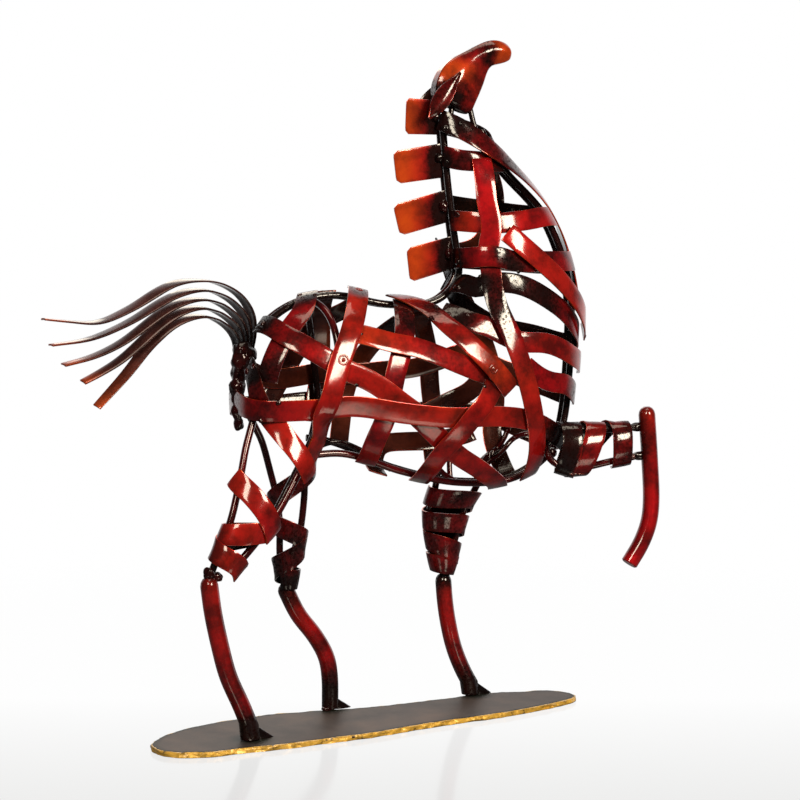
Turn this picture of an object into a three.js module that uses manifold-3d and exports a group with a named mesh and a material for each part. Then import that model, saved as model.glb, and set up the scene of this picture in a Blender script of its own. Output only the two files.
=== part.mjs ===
// A strutting horse welded from flat iron strap over a frame of round rod,
// on a thin cut plate. Millimetres: +X towards the chest, +Y to the horse's left, +Z up.
import * as THREE from 'three';
import { mergeVertices } from 'three/addons/utils/BufferGeometryUtils.js';
import Module from 'manifold-3d';

const wasm = await Module();
wasm.setup();

// ---- Driving dimensions -------------------------------------------------

const CLEAR = 0.3;             // gap left between two pieces that touch
const ROD = 4;                 // round rod of the frame, diameter
const ROD_SIDES = 8;
const ROD_PAIR = 3.4;          // rods of a pair run this far either side of the centre plane
const STRAP_WIDTH = 11.5;
const STRAP_THICK = 1;
const STRAP_RIDE = 1.1;        // height of the first strap's middle over the frame
const LAYER = 1.9;             // each strap laid over another rides this much higher
const WRAP_WIDTH = 11.5;       // strap wound round the legs
const HOOF_BAR = 9.6;          // thick bent bar of a lower leg and hoof, diameter
const HOOF_SIDES = 10;
const BASE_THICK = 3;
const MANE_THICK = 1.2;
const TAIL_WIDTH = 8;
const TAIL_THICK = 1;
const TAIL_SWING = 20;         // degrees the tail swings to the horse's right
// Longest straight facet and most turn, in degrees, from one facet to the next.
const STRAP_FACETS = { length: 17, turn: 17 };
const ROD_FACETS = { length: 24, turn: 20 };
const WRAP_FACETS = { length: 14, turn: 33 };
const SAMPLES = 6;             // marks laid between two named places

// ---- Finishes -----------------------------------------------------------

const finish = (color, roughness, metalness = 0.6) =>
  new THREE.MeshStandardMaterial({ color, roughness, metalness });
const RED = finish('#8f1512', 0.28);
const DARK_RED = finish('#4a1310', 0.32);
const BROWN = finish('#4f2217', 0.4);
const BLACK = finish('#1c1210', 0.35);
const ORANGE = finish('#b5431a', 0.3);
const SMOKE = finish('#4d3d3c', 0.35);
const PLATE = finish('#3c3d38', 0.6);

// ---- Forms that the straps are laid over --------------------------------

const vec = (x, y, z) => new THREE.Vector3(x, y, z);
const REAR = vec(-1, 0, 0);

// A form is a row of upright ovals. Each has a top and a low point [x, z], half its width,
// and the side offset y of its middle. A place on it is u, the oval counted from 0, and a
// turn in degrees: 0 the top line, -90 the right side, 90 the left side, 180 the low line.
// Below u = 0 the place has passed over the closed end of the form to its other side.
function makeForm(ovals) {
  const last = ovals.length - 1;
  const line = (end) => new THREE.CatmullRomCurve3(
    ovals.map((oval) => vec(oval[end][0], oval.y ?? 0, oval[end][1])));
  const top = line('top');
  const low = line('low');
  const half = new THREE.CatmullRomCurve3(
    ovals.map((oval, i) => vec(oval.half, i, 0)), false, 'catmullrom', 0.5);

  const at = (u, turn) => {
    const t = Math.min(Math.abs(u) / last, 1);
    const angle = THREE.MathUtils.degToRad(u < 0 ? turn + 180 : turn);
    const high = top.getPoint(t);
    const deep = low.getPoint(t);
    const middle = high.clone().lerp(deep, 0.5);
    const rise = high.sub(deep).multiplyScalar(0.5 * Math.cos(angle));
    return middle.add(rise).add(vec(0, half.getPoint(t).x * Math.sin(angle), 0));
  };
  const outward = (u, turn) => {
    if (Math.abs(u) < 0.12) return REAR.clone();
    const along = at(u + 0.05, turn).sub(at(u - 0.05, turn));
    const round = at(u, turn + 1).sub(at(u, turn - 1));
    return along.cross(round).normalize().multiplyScalar(Math.sign(u));
  };
  return { at, outward, halfAt: (u) => half.getPoint(u / last).x };
}

const body = makeForm([
  { top: [-94, 183], low: [-94, 183], half: 0 },      // 0  rump, where the belt passes
  { top: [-92, 201], low: [-92, 166], half: 15 },     // 1
  { top: [-86, 220], low: [-86, 154], half: 25 },     // 2  root of the tail
  { top: [-66, 237], low: [-66, 147], half: 31 },     // 3  hip
  { top: [-40, 243], low: [-38, 148], half: 33 },     // 4  loin and groin
  { top: [-8, 238], low: [-2, 138], half: 34 },       // 5  ribs
  { top: [20, 240], low: [36, 131], half: 33 },       // 6  girth
  { top: [32, 253], low: [72, 134], half: 31 },       // 7  withers and elbow
  { top: [31, 263], low: [98, 154], half: 29 },       // 8  shoulder
  { top: [29, 274], low: [107, 204], half: 27 },      // 9  breast
  { top: [27, 288], low: [106, 248], half: 24 },      // 10
  { top: [25, 303], low: [91, 287], half: 20 },       // 11 crest
  { top: [23, 322], low: [62, 317], half: 15 },       // 12 throat
  { top: [21, 342], low: [47, 342], half: 9 },        // 13 poll
]);

const thighRight = makeForm([
  { top: [-48, 182], low: [-96, 186], y: -15, half: 11 },
  { top: [-55, 160], low: [-99, 160], y: -21, half: 9.5 },
  { top: [-66, 140], low: [-104, 138], y: -25, half: 8 },
  { top: [-77, 122], low: [-109, 121], y: -28, half: 7.5 },
  { top: [-89, 107], low: [-115, 106], y: -29, half: 7 },
  { top: [-105, 90], low: [-121, 92], y: -30, half: 6 },
]);
const thighLeft = makeForm([
  { top: [-38, 182], low: [-90, 186], y: 20, half: 12 },
  { top: [-42, 160], low: [-78, 159], y: 23, half: 9 },
  { top: [-45, 140], low: [-72, 139], y: 25, half: 9 },
  { top: [-46, 124], low: [-68, 123], y: 25, half: 8.5 },
  { top: [-48, 108], low: [-67, 108], y: 25, half: 8 },
  { top: [-51, 92], low: [-67, 93], y: 25, half: 7 },
  { top: [-54, 78], low: [-65, 80], y: 25, half: 6 },
]);
const forearmLeft = makeForm([
  { top: [62, 152], low: [26, 152], y: 12, half: 8 },
  { top: [59, 129], low: [26, 129], y: 21, half: 9 },
  { top: [53, 116], low: [24, 116], y: 25, half: 8 },
  { top: [49.5, 104], low: [25, 105], y: 27, half: 7 },
  { top: [47, 94], low: [27, 95], y: 28, half: 7 },
  { top: [45, 84], low: [29, 86], y: 29, half: 6.5 },
  { top: [42, 75], low: [32, 77], y: 30, half: 6 },
]);
const forearmRight = makeForm([
  { top: [84, 168], low: [80, 143], y: -26, half: 8 },
  { top: [94, 168], low: [90, 139], y: -29, half: 8 },
  { top: [105, 168], low: [102, 140], y: -31, half: 8 },
  { top: [117, 168], low: [115, 143], y: -34, half: 7 },
  { top: [130, 169], low: [131, 146], y: -37, half: 6 },
]);

// ---- Marks and swept bars -----------------------------------------------

const strapHeight = (layer) => STRAP_RIDE + LAYER * layer;
const rodHeight = (layer) => -(ROD / 2 + CLEAR) - ROD * layer;

// Marks along a smooth route over a form. A place is [u, turn, layer, roll].
function on(form, height, ...places) {
  const mark = (u, turn, layer, roll) => {
    const out = form.outward(u, turn);
    return { at: form.at(u, turn).addScaledVector(out, height(layer)), out, roll };
  };
  const full = places.map(([u, turn, layer = 0, roll = 0]) => [u, turn, layer, roll]);
  if (full.length === 1) return [mark(...full[0])];
  const route = new THREE.CatmullRomCurve3(full.map(([u, turn]) => vec(u, turn / 30, 0)));
  const heights = new THREE.CatmullRomCurve3(
    full.map(([, , layer, roll], i) => vec(layer, roll / 30, i)), false, 'catmullrom', 0.5);
  const marks = [];
  const count = (full.length - 1) * SAMPLES;
  for (let i = 0; i <= count; i++) {
    const spot = route.getPoint(i / count);
    const level = heights.getPoint(i / count);
    marks.push(mark(spot.x, spot.y * 30, level.x, level.y * 30));
  }
  return marks;
}

// Cross-sections along the marks, closer together where the bar bends or twists.
function framesAlong(marks, facets) {
  const path = new THREE.CatmullRomCurve3(marks.map((mark) => mark.at));
  const frameAt = (s) => {
    const tangent = path.getTangentAt(s);
    const t = path.getUtoTmapping(s) * (marks.length - 1);
    const before = marks[Math.floor(t)];
    const after = marks[Math.min(Math.floor(t) + 1, marks.length - 1)];
    const out = before.out.clone().lerp(after.out, t - Math.floor(t));
    out.addScaledVector(tangent, -out.dot(tangent)).normalize();
    const roll = THREE.MathUtils.lerp(before.roll ?? 0, after.roll ?? 0, t - Math.floor(t));
    out.applyAxisAngle(tangent, THREE.MathUtils.degToRad(roll));
    return { at: path.getPointAt(s), tangent, out, across: tangent.clone().cross(out) };
  };
  const fine = Math.ceil(path.getLength());
  const cost = [0];
  let last = frameAt(0);
  for (let i = 1; i <= fine; i++) {
    const next = frameAt(i / fine);
    const bend = Math.max(last.tangent.angleTo(next.tangent), last.out.angleTo(next.out));
    const step = last.at.distanceTo(next.at) / facets.length;
    cost.push(cost[i - 1] + Math.max(step, THREE.MathUtils.radToDeg(bend) / facets.turn));
    last = next;
  }
  const count = Math.max(2, Math.round(cost[fine]));
  const frames = [];
  for (let i = 0, k = 0; i <= count; i++) {
    const wanted = cost[fine] * i / count;
    while (k < fine - 1 && cost[k + 1] < wanted) k++;
    frames.push(frameAt(Math.min(1, (k + (wanted - cost[k]) / (cost[k + 1] - cost[k])) / fine)));
  }
  return frames;
}

// A closed solid through rings of points, flat across both ends.
function solidThrough(rings) {
  const sides = rings[0].length;
  const points = rings.flat();
  const faces = [];
  for (let r = 0; r + 1 < rings.length; r++) {
    for (let s = 0; s < sides; s++) {
      const a = r * sides + s;
      const b = r * sides + (s + 1) % sides;
      faces.push([a, b, a + sides], [b, b + sides, a + sides]);
    }
  }
  const end = (rings.length - 1) * sides;
  for (let s = 1; s + 1 < sides; s++) {
    faces.push([0, s + 1, s], [end, end + s, end + s + 1]);
  }
  const volume = faces.reduce((sum, [a, b, c]) =>
    sum + points[a].dot(points[b].clone().cross(points[c])), 0);
  if (volume < 0) faces.forEach((face) => face.reverse());
  const geometry = new THREE.BufferGeometry().setFromPoints(points);
  geometry.setIndex(faces.flat());
  return geometry;
}

const ringOf = (frame, section) => section.map(([x, y]) =>
  frame.at.clone().addScaledVector(frame.across, x).addScaledVector(frame.out, y));

function flatSection(width, thick) {
  const w = width / 2;
  const t = thick / 2;
  return [[-w, -t], [w, -t], [w, t], [-w, t]];
}

function roundSection(diameter, sides) {
  return Array.from({ length: sides }, (_, i) => {
    const angle = 2 * Math.PI * (i + 0.5) / sides;
    return [diameter / 2 * Math.cos(angle), diameter / 2 * Math.sin(angle)];
  });
}

const strap = (marks, width = STRAP_WIDTH, facets = STRAP_FACETS, thick = STRAP_THICK) =>
  solidThrough(framesAlong(marks, facets).map((f) => ringOf(f, flatSection(width, thick))));

const rod = (marks) =>
  solidThrough(framesAlong(marks, ROD_FACETS).map((f) => ringOf(f, roundSection(ROD, ROD_SIDES))));

// Marks through plain points, with one outward direction for all.
const through = (out, ...points) => points.map((at) => ({ at: vec(...at), out: out.clone() }));

// Joins pieces that are welded to each other into one solid.
function weld(geometries) {
  const solids = geometries.map((geometry) => {
    const merged = mergeVertices(geometry, 1e-4);
    return new wasm.Manifold(new wasm.Mesh({
      numProp: 3,
      vertProperties: new Float32Array(merged.attributes.position.array),
      triVerts: new Uint32Array(merged.index.array),
    }));
  });
  const whole = solids.reduce((sum, solid) => sum.add(solid)).getMesh();
  const geometry = new THREE.BufferGeometry();
  geometry.setAttribute('position', new THREE.BufferAttribute(whole.vertProperties, 3));
  geometry.setIndex(new THREE.BufferAttribute(whole.triVerts, 1));
  return geometry;
}

// A sphere without the doubled points at its seam and poles.
function closedSphere(geometry) {
  geometry.deleteAttribute('normal');
  geometry.deleteAttribute('uv');
  const merged = mergeVertices(geometry, 1e-4);
  const index = merged.index.array;
  const faces = [];
  for (let i = 0; i < index.length; i += 3) {
    const [a, b, c] = index.slice(i, i + 3);
    if (a !== b && b !== c && a !== c) faces.push(a, b, c);
  }
  merged.setIndex(faces);
  return merged;
}

// ---- The group ----------------------------------------------------------

const horse = new THREE.Group();

function add(name, geometry, material) {
  const mesh = new THREE.Mesh(geometry, material);
  mesh.name = name;
  horse.add(mesh);
}

// ---- Base plate ---------------------------------------------------------

function basePlate() {
  const front = [[-138, -45], [-122, -49], [-106, -47], [-82, -46], [-55, -42], [-28, -38],
    [-4, -31], [25, -24], [50, -20], [74, -13], [96, -5], [112, 3]];
  const back = [[116, 12], [113, 23], [104, 30], [90, 31], [76, 34], [55, 33], [35, 29],
    [10, 25], [-17, 23], [-45, 25], [-70, 25], [-96, 19], [-120, 9], [-138, -4], [-148, -20],
    [-147, -36]];
  const outline = new THREE.SplineCurve([...front, ...back].map(([x, y]) => new THREE.Vector2(x, y)));
  outline.points.push(outline.points[0]);
  const shape = new THREE.Shape(outline.getPoints(72).slice(0, -1));
  return new THREE.ExtrudeGeometry(shape, { depth: BASE_THICK, bevelEnabled: false });
}
add('base_plate', basePlate(), PLATE);

// ---- Lower legs ---------------------------------------------------------

// A bent bar with a domed upper end. A standing one is cut level just over the plate.
function hoofBar(points, standing) {
  const path = new THREE.CatmullRomCurve3(points.map((p) => vec(...p)));
  const frames = framesAlong(points.map((p) => ({ at: vec(...p), out: vec(0, 1, 0) })), ROD_FACETS);
  const section = roundSection(HOOF_BAR, HOOF_SIDES);
  const rings = frames.map((frame) => ringOf(frame, section));
  const dome = [[0.55, 0.82], [1.4, 0.45]].map(([rise, size]) => {
    const { at, tangent, out, across } = frames[0];
    const raised = { at: at.clone().addScaledVector(tangent, -rise * 2), out, across };
    return ringOf(raised, section.map(([x, y]) => [x * size, y * size]));
  });
  rings.unshift(...dome.reverse());
  if (standing) {
    const sole = frames.at(-1);
    rings.at(-1).forEach((point) => {
      const drop = (BASE_THICK + CLEAR - point.z) / sole.tangent.z;
      point.addScaledVector(sole.tangent, drop);
    });
  }
  return solidThrough(rings);
}
const FOOT = BASE_THICK + 4;
add('hoof_bar_hind_right', hoofBar([[-118, -30, 87], [-116, -30, 72], [-112, -30, 53],
  [-108, -30, 38], [-101, -30, 22], [-95, -30, FOOT]], true), RED);
add('hoof_bar_hind_left', hoofBar([[-60, 25, 73], [-53, 25, 59], [-43, 25, 46],
  [-36, 25, 33], [-34, 25, 20], [-34, 25, FOOT]], true), DARK_RED);
add('hoof_bar_fore_left', hoofBar([[38, 30, 73], [39, 30, 61], [41, 30, 48],
  [45, 31, 33], [51, 32, 19], [58, 33, FOOT]], true), DARK_RED);
add('hoof_bar_fore_right', hoofBar([[136, -38, 173], [138, -38, 147], [139, -39, 124],
  [137, -40, 112], [132, -40, 100], [124, -40, 88]], false), RED);

// ---- Frame rods ---------------------------------------------------------

const pairTurn = (form, u) => THREE.MathUtils.radToDeg(Math.asin(ROD_PAIR / form.halfAt(u)));

for (const [side, name] of [[-1, 'right'], [1, 'left']]) {
  const crest = [2.25, 3, 4, 5, 5.7, 6.3, 7, 8, 9, 10, 11, 12, 12.9]
    .map((u) => [u, side * pairTurn(body, u)]);
  add(`back_rod_${name}`, rod(on(body, rodHeight, ...crest)), name === 'right' ? BLACK : DARK_RED);
  const throat = [8.2, 8.6, 9, 10, 11, 12, 12.75]
    .map((u) => [u, side * (180 - pairTurn(body, u))]);
  add(`neck_rod_${name}`, rod(on(body, rodHeight, ...throat)), DARK_RED);
}
add('belly_rod_right', rod(on(body, rodHeight, [3.5, -158], [4.3, -160], [5, -165], [6, -170],
  [7, -172], [8.12, -173])), DARK_RED);
add('belly_rod_left', rod(on(body, rodHeight, [3.6, 140], [4.3, 148], [5, 160], [6, 168],
  [7, 172], [8.12, 173])), DARK_RED);

// ---- Leg rods -----------------------------------------------------------

const DEEP = 0.25;             // leg rods sit this much of a rod deeper, under tighter straps
const deep = (...places) => places.map(([u, turn]) => [u, turn, DEEP]);

add('thigh_front_rods_right', weld([
  rod([
    ...on(body, rodHeight, [3.45, -13], [3.7, -45], [3.75, -80], [3.6, -98]),
    ...on(thighRight, rodHeight, ...deep([1, -10], [2, -5], [3, -4], [4, -4], [4.9, -4])),
  ]),
  rod([
    ...on(body, rodHeight, [3.68, -96]),
    ...on(thighRight, rodHeight, ...deep([1, 20], [2, 28], [3, 30], [3.9, 10], [4.6, -2])),
  ]),
]), BLACK);
add('thigh_rear_rod_right', rod([
  ...on(body, rodHeight, [1, -55, 0.2], [1.15, -88, 0.7]),
  ...on(thighRight, rodHeight, ...deep([1.1, -172], [2, -175], [3, -180], [4, -180],
    [4.9, -186])),
]), BLACK);
add('thigh_front_rod_left', rod([
  ...on(body, rodHeight, [3.45, 13], [3.75, 50, 0.2], [3.9, 90, 0.8], [3.95, 112, 0.5]),
  ...on(thighLeft, rodHeight, ...deep([1, 8], [2, 4], [3, 0], [4, 0], [5, 0], [5.9, 4])),
]), BLACK);
add('thigh_rear_rod_left', rod([
  ...on(body, rodHeight, [1, 55], [1.1, 88]),
  ...on(thighLeft, rodHeight, ...deep([1, 175], [2, 180], [3, 180], [4, 180], [5, 178],
    [5.9, 172])),
]), DARK_RED);
add('forearm_front_rod_left', rod(on(forearmLeft, rodHeight, ...deep([0, 0], [1, 0], [2, 0],
  [3, 0], [4, 0], [5, 2], [5.9, 6]))), DARK_RED);
add('forearm_rear_rod_left', rod(on(forearmLeft, rodHeight, ...deep([0, 180], [1, 180],
  [2, 180], [3, 180], [4, 180], [5, 178], [5.9, 174]))), DARK_RED);
add('forearm_upper_rod_right', rod(on(forearmRight, rodHeight, ...deep([0.25, 0], [1, 0],
  [2, 0], [3, 0], [3.9, 0]))), BLACK);
add('forearm_lower_rod_right', rod([
  ...through(vec(0, -1, 0), [85, -15, 163], [82, -17, 155], [82, -23, 147]),
  ...on(forearmRight, rodHeight, ...deep([0.6, -180], [1.2, -180], [2, -180], [3, -180],
    [3.9, -180])),
]), RED);

// ---- Straps over the trunk ----------------------------------------------

function lay(name, material, marks, width) {
  add(name, strap(marks, width), material);
}
const over = (form, ...places) => on(form, strapHeight, ...places);

lay('belt_strap', RED, over(body, [8.1, -176, 1], [7.8, -140, 1], [7.3, -117, 1],
  [6.4, -104, 1], [5.1, -104, 1], [4, -108, 1], [2.7, -106, 1.4], [1.5, -103, 1.45], [0.6, -98, 1.1],
  [0, -90, 1], [-0.6, -82, 1], [-1.5, -77, 1], [-2.7, -74, 1], [-4, -72, 1], [-5.1, -76, 1],
  [-6.4, -76, 1], [-7.3, -63, 1], [-7.8, -40, 1], [-8.1, -5, 1]));
lay('flank_strap_right', RED, [
  ...over(body, [4.45, 2, 1], [4.25, -30, 1.6], [4, -59, 2], [3.67, -83, 2.3],
    [3.5, -100, 3.4], [3.35, -110, 3.5]),
  ...over(thighRight, [0.8, -36, 1], [1.2, -31, -0.2], [1.6, -24, -0.6]),
]);
lay('loin_strap_right', RED, over(body, [2.2, -12, 0.4], [2.45, -36, 1], [2.7, -52, 1],
  [3.5, -77, 1], [3.92, -86, 0.5], [4.4, -92, 0], [4.75, -99, 0]));
lay('hip_strap_right', DARK_RED, over(body, [3.45, -4, 0], [3.16, -33, 0], [2.82, -44, 0],
  [2.48, -55, -0.4], [2.1, -74, -1.3], [2.06, -79, -1.8]));
lay('haunch_strap_right', RED, [
  ...over(body, [1.35, -40, 0], [1.65, -89, -0.2], [2, -106, -0.5]),
  ...over(thighRight, [1, -80, 0.2], [1.45, -52, 1.4], [1.85, -22, 1.7]),
]);
lay('rib_strap_right', RED, over(body, [4.1, -60, 0], [4.6, -62, 1], [5.04, -62, 1],
  [5.56, -67, 1], [6.1, -75, 0.4], [6.4, -80, 0]));
lay('back_sash_right', RED, over(body, [5.02, -4, 1], [5.53, -27, 1], [5.81, -46, 1.6],
  [6.15, -60, 2], [6.55, -76, 2], [6.81, -88, 1.9], [6.95, -95, 1.2]));
lay('withers_strap_right', RED, over(body, [5.9, -30, 0], [6.5, -50, 0.4], [7.2, -65, 0],
  [8.3, -93, 0.6], [8.64, -111, 1], [8.9, -150, 1], [8.95, -176, 1]));
lay('girth_strap_right', RED, over(body, [6.6, -88, 0.4], [6.2, -97, 2.3], [6, -101, 2.5],
  [5.72, -112, 2.3], [5.46, -126, 1.6], [5.3, -150, 0.4], [5.25, -176, 0]));
lay('belly_strap_right', RED, over(body, [5, -104, -0.4], [5.23, -111, 0], [5.71, -127, 0],
  [6.17, -141, 0], [6.53, -160, 0], [6.6, -176, 0]));
lay('rib_upright_right', DARK_RED, over(body, [5.22, -12, 0], [4.95, -57, -0.4],
  [4.75, -79, -1], [4.64, -96, -1], [4.54, -113, -0.4], [4.42, -131, 0], [4.37, -160, 0]));
lay('breast_strap_right', DARK_RED, over(body, [7.75, -93, 0], [8.1, -110, 0],
  [8.45, -132, 0], [8.6, -172, 0]));

// ---- Straps round the neck ----------------------------------------------

lay('shoulder_strap_right', RED, over(body, [11.9, -86, -0.2], [11.4, -72, 0.6],
  [10.75, -62, 1], [10.05, -60, 1], [9.32, -54, 0.8], [8.7, -55, 1], [8.26, -56, 1],
  [7.89, -62, 1.2], [7.66, -77, 2], [7.5, -91, 2.2], [7.35, -111, 2.3], [7.25, -130, 2],
  [7.15, -155, 0.4], [7.1, -174, 0]));
lay('collar_strap_right', DARK_RED, over(body, [12.85, -30, 1], [12.7, -55, 1],
  [12.49, -80, 1], [12.09, -116, 1], [11.7, -145, 1, 10], [11.3, -165, 1, 25]));
lay('collar_strap_left', DARK_RED, over(body, [12.85, 30, 0], [12.8, 90, 0],
  [12.6, 150, 0], [12.4, 190, 0], [12.2, 222, 0]));
lay('throat_strap', DARK_RED, over(body, [11.85, -20, 0], [11.77, -50, -0.6],
  [11.85, -90, -1], [11.9, -125, -0.6]));
lay('neck_band_upper', RED, over(body, [9.7, -14, 0], [9.8, -30, 0], [10.15, -62, 0],
  [10.5, -89, 0], [10.83, -125, 0], [10.95, -160, 0], [11, -200, 0], [10.95, -235, 0],
  [10.85, -270, 0], [10.6, -315, 0], [10.4, -344, 0]));
lay('neck_band_middle', DARK_RED, over(body, [8, -14, 1], [8.3, -25, 1.8], [9.2, -58, 2.4],
  [9.45, -76, 1], [9.6, -85, 0.6], [9.9, -105, 0.6], [10.2, -141, 0.6], [10.3, -176, 0.6],
  [10.2, -215, 0.6], [9.85, -265, 0], [9, -315, 0], [8.4, -345, 0]));
lay('neck_band_lower', BLACK, over(body, [6.6, -12, 0], [7.4, -38, 0], [8.35, -53, 0],
  [9.05, -80, 0], [9.3, -113, 0], [9.3, -150, 0], [9.2, -190, 0], [9, -235, -0.6],
  [8.3, -285, -1], [7.5, -320, -0.6], [6.8, -346, 0]));
lay('neck_sash_right', RED, over(body, [10.04, -72, 1.9], [9.9, -82, 2.35], [9.78, -99, 2.1],
  [9.68, -119, 2], [9.55, -145, 2], [9.35, -176, 2]));

// ---- Straps of the left side --------------------------------------------

lay('rib_upright_left', BROWN, over(body, [5.6, 12, 0], [6, 45, 0], [6.16, 66, 0],
  [6.12, 88, 0], [6.08, 103, 0], [5.95, 120, 0], [5.85, 142, 0]));
lay('side_strap_left', BROWN, over(body, [2, 66, -0.4], [2.8, 86, -1], [3.55, 90, -1.1],
  [4.43, 86, -1.1], [5.2, 78, -1], [6.4, 74, -1.1], [7.3, 80, -1.2], [8.1, 104, -0.6],
  [8.5, 140, 0], [8.6, 172, 0]));
lay('flank_strap_left', BROWN, over(body, [3.95, 12, 0], [4, 41, 0], [4.08, 73, 0],
  [4.03, 95, 0], [3.95, 108, 0], [3.9, 124, 0]));
lay('loin_strap_left', BROWN, over(body, [2.7, 112, 0], [3.1, 95, 0], [3.5, 77, 0.4],
  [3.9, 58, 1], [4.43, 39, 1], [4.7, 14, 0.4]));
lay('rib_slant_left', BROWN, over(body, [5.48, 40, 0], [4.96, 63, 0], [4.64, 85, 0],
  [4.5, 100, 0], [4.4, 118, 0], [4.25, 142, 0]));
lay('shoulder_strap_left', DARK_RED, over(body, [8.6, 16, 1.4], [8.38, 50, 1], [8.19, 72, 0.4],
  [8.05, 90, 0], [7.6, 110, 0], [7.15, 125, 0], [7, 150, 0], [6.95, 172, 0]));
lay('girth_strap_left', BROWN, over(body, [5.75, 107, -1], [6.1, 102, -1], [6.49, 99, -1],
  [7.1, 98, -0.8]));
lay('belly_strap_left', BROWN, over(body, [4.75, 172, 0], [4.8, 150, 0], [5, 132, -0.6],
  [5.5, 125, -1], [6.2, 122, -1], [6.75, 120, -1]));
lay('neck_sash_left', DARK_RED, over(body, [11.9, 130, 0], [11.3, 112, 1], [10.7, 98, 1],
  [10, 80, 1], [9.4, 58, 1.6], [8.9, 34, 2.4], [8.75, 18, 2.4]));

// ---- Straps wound round the legs ----------------------------------------

const wound = (form, ...places) => strap(over(form, ...places), WRAP_WIDTH, WRAP_FACETS);

add('wraps_hind_right', weld([
  wound(thighRight, [1.75, -168, 0.4], [2.1, -130, 0.8], [2.7, -90, 1], [3.3, -50, 0.6],
    [3.7, -15, 0.5]),
  wound(thighRight, [3.5, 12, 0], [3.5, -60, 0], [3.5, -120, 0], [3.5, -180, 0],
    [3.55, -240, 0], [3.6, -300, 0], [3.6, -345, 0]),
  wound(thighRight, [3.7, -300, 0], [3.85, -240, 0], [4, -180, 0], [4.3, -120, 0],
    [4.6, -60, 0], [4.85, -6, 0]),
]), RED);
add('wraps_hind_left', weld([
  wound(thighLeft, [1.5, 10, 0.4], [1.9, -40, 0.4], [2.3, -90, 0.4], [2.8, -150, 0.4],
    [3.1, -185, 0.2], [3.4, -230, 0]),
  wound(thighLeft, [3.5, -230, 0], [3.7, -180, 0], [3.9, -130, 0], [4.2, -70, 0],
    [4.5, 0, 0], [4.6, 60, 0]),
  wound(thighLeft, [4.4, 60, 0], [4.5, 0, 0], [4.8, -60, 0], [5.2, -120, 0],
    [5.5, -180, 0], [5.8, -250, 0], [5.85, -330, 0], [5.9, -420, 0], [5.95, -500, 0]),
]), DARK_RED);
add('wraps_fore_left', wound(forearmLeft, [1.3, -200, 0], [1.4, -130, 0], [1.5, -50, 0],
  [1.8, 30, 0], [2.2, 100, 0], [2.5, 170, 0], [2.6, 240, 0], [2.7, 310, 0], [3, 390, 0],
  [3.4, 460, 0], [3.6, 520, 0], [3.9, 600, 0], [4.3, 670, 0], [4.7, 750, 0],
  [5, 820, 0], [5.1, 900, 0], [5.15, 980, 0], [5.2, 1050, 0]), DARK_RED);
add('wraps_fore_right', weld([
  wound(forearmRight, [0.75, 20, 0], [0.75, -30, 0], [0.78, -90, 0], [0.7, -150, 0],
    [0.9, -190, 0], [1.4, -270, 0], [2, -340, 0], [2.05, -390, 0], [1.7, -450, 0],
    [1.4, -510, 0], [1.4, -560, 0]),
  wound(forearmRight, [1.4, -510, 0], [1.5, -560, 0], [2.3, -630, 0], [3.1, -700, 0],
    [3.2, -750, 0], [3.2, -810, 0], [3.3, -870, 0], [3.4, -915, 0]),
]), DARK_RED);

// ---- Mane ---------------------------------------------------------------

// Each tab is a plate [x, z] of four corners: two on the crest, two at its outer edge.
const MANE = {
  1: [[20, 350], [21.7, 331], [3, 331], [3, 351]],
  2: [[22.3, 326], [24.2, 307], [-2, 303], [-5, 321]],
  3: [[25, 300], [27.4, 282], [0, 274], [-5, 291]],
  4: [[28.6, 274], [31.4, 256], [6, 248], [3, 267]],
};
for (const [number, corners] of Object.entries(MANE)) {
  const outline = new THREE.Shape(corners.map(([x, z]) => new THREE.Vector2(x, z)));
  const plate = new THREE.ExtrudeGeometry(outline, { depth: MANE_THICK, bevelEnabled: false });
  plate.rotateX(Math.PI / 2).translate(0, MANE_THICK / 2 - ROD_PAIR, 0);
  add(`mane_plate_${number}`, plate, ORANGE);
}

// ---- Tail ---------------------------------------------------------------

// Strands lie in one upright plane swung to the right: [distance behind the root, height].
const TAIL_ROOT = [-91, 207];
const STRANDS = [
  [[-4.5, 209], [-6.5, 219], [-5.5, 230], [2, 240], [14, 246], [26, 248], [44, 246],
    [72, 232], [90, 225.5], [108, 226], [121, 227]],
  [[-2.5, 209], [-4, 218], [-1.5, 228], [6, 236], [16, 241], [27, 243], [43, 240],
    [73, 225], [95, 217], [117, 214]],
  [[-0.5, 209], [-1.5, 217], [2, 226], [9.5, 232.5], [18, 236.5], [29, 238], [45, 234],
    [76, 215], [93, 208], [110, 204]],
  [[1.5, 209], [1, 216], [4.5, 223], [11.5, 228.5], [19.5, 232], [29, 233.5], [45, 229],
    [76, 206.5], [89, 199.5], [99, 195]],
  [[3.5, 209], [4, 215], [7.5, 220.5], [13.5, 225], [20.5, 228], [29, 229], [44, 225],
    [59, 214], [73, 199], [91, 182]],
];
function tailStrand(points) {
  const swing = THREE.MathUtils.degToRad(TAIL_SWING);
  const [rootX] = TAIL_ROOT;
  const marks = points.map(([behind, z]) => ({
    at: vec(rootX - behind * Math.cos(swing), 1 - behind * Math.sin(swing), z),
    out: vec(0.3, 0.1, 1),
  }));
  return strap(marks, TAIL_WIDTH, STRAP_FACETS, TAIL_THICK);
}
const knot = new THREE.SphereGeometry(1, 10, 8).scale(6.5, 5.5, 6.5);
knot.translate(TAIL_ROOT[0], 0.5, TAIL_ROOT[1]);
add('tail', weld([...STRANDS.map(tailStrand), closedSphere(knot)]), SMOKE);

// ---- Head ---------------------------------------------------------------

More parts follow.
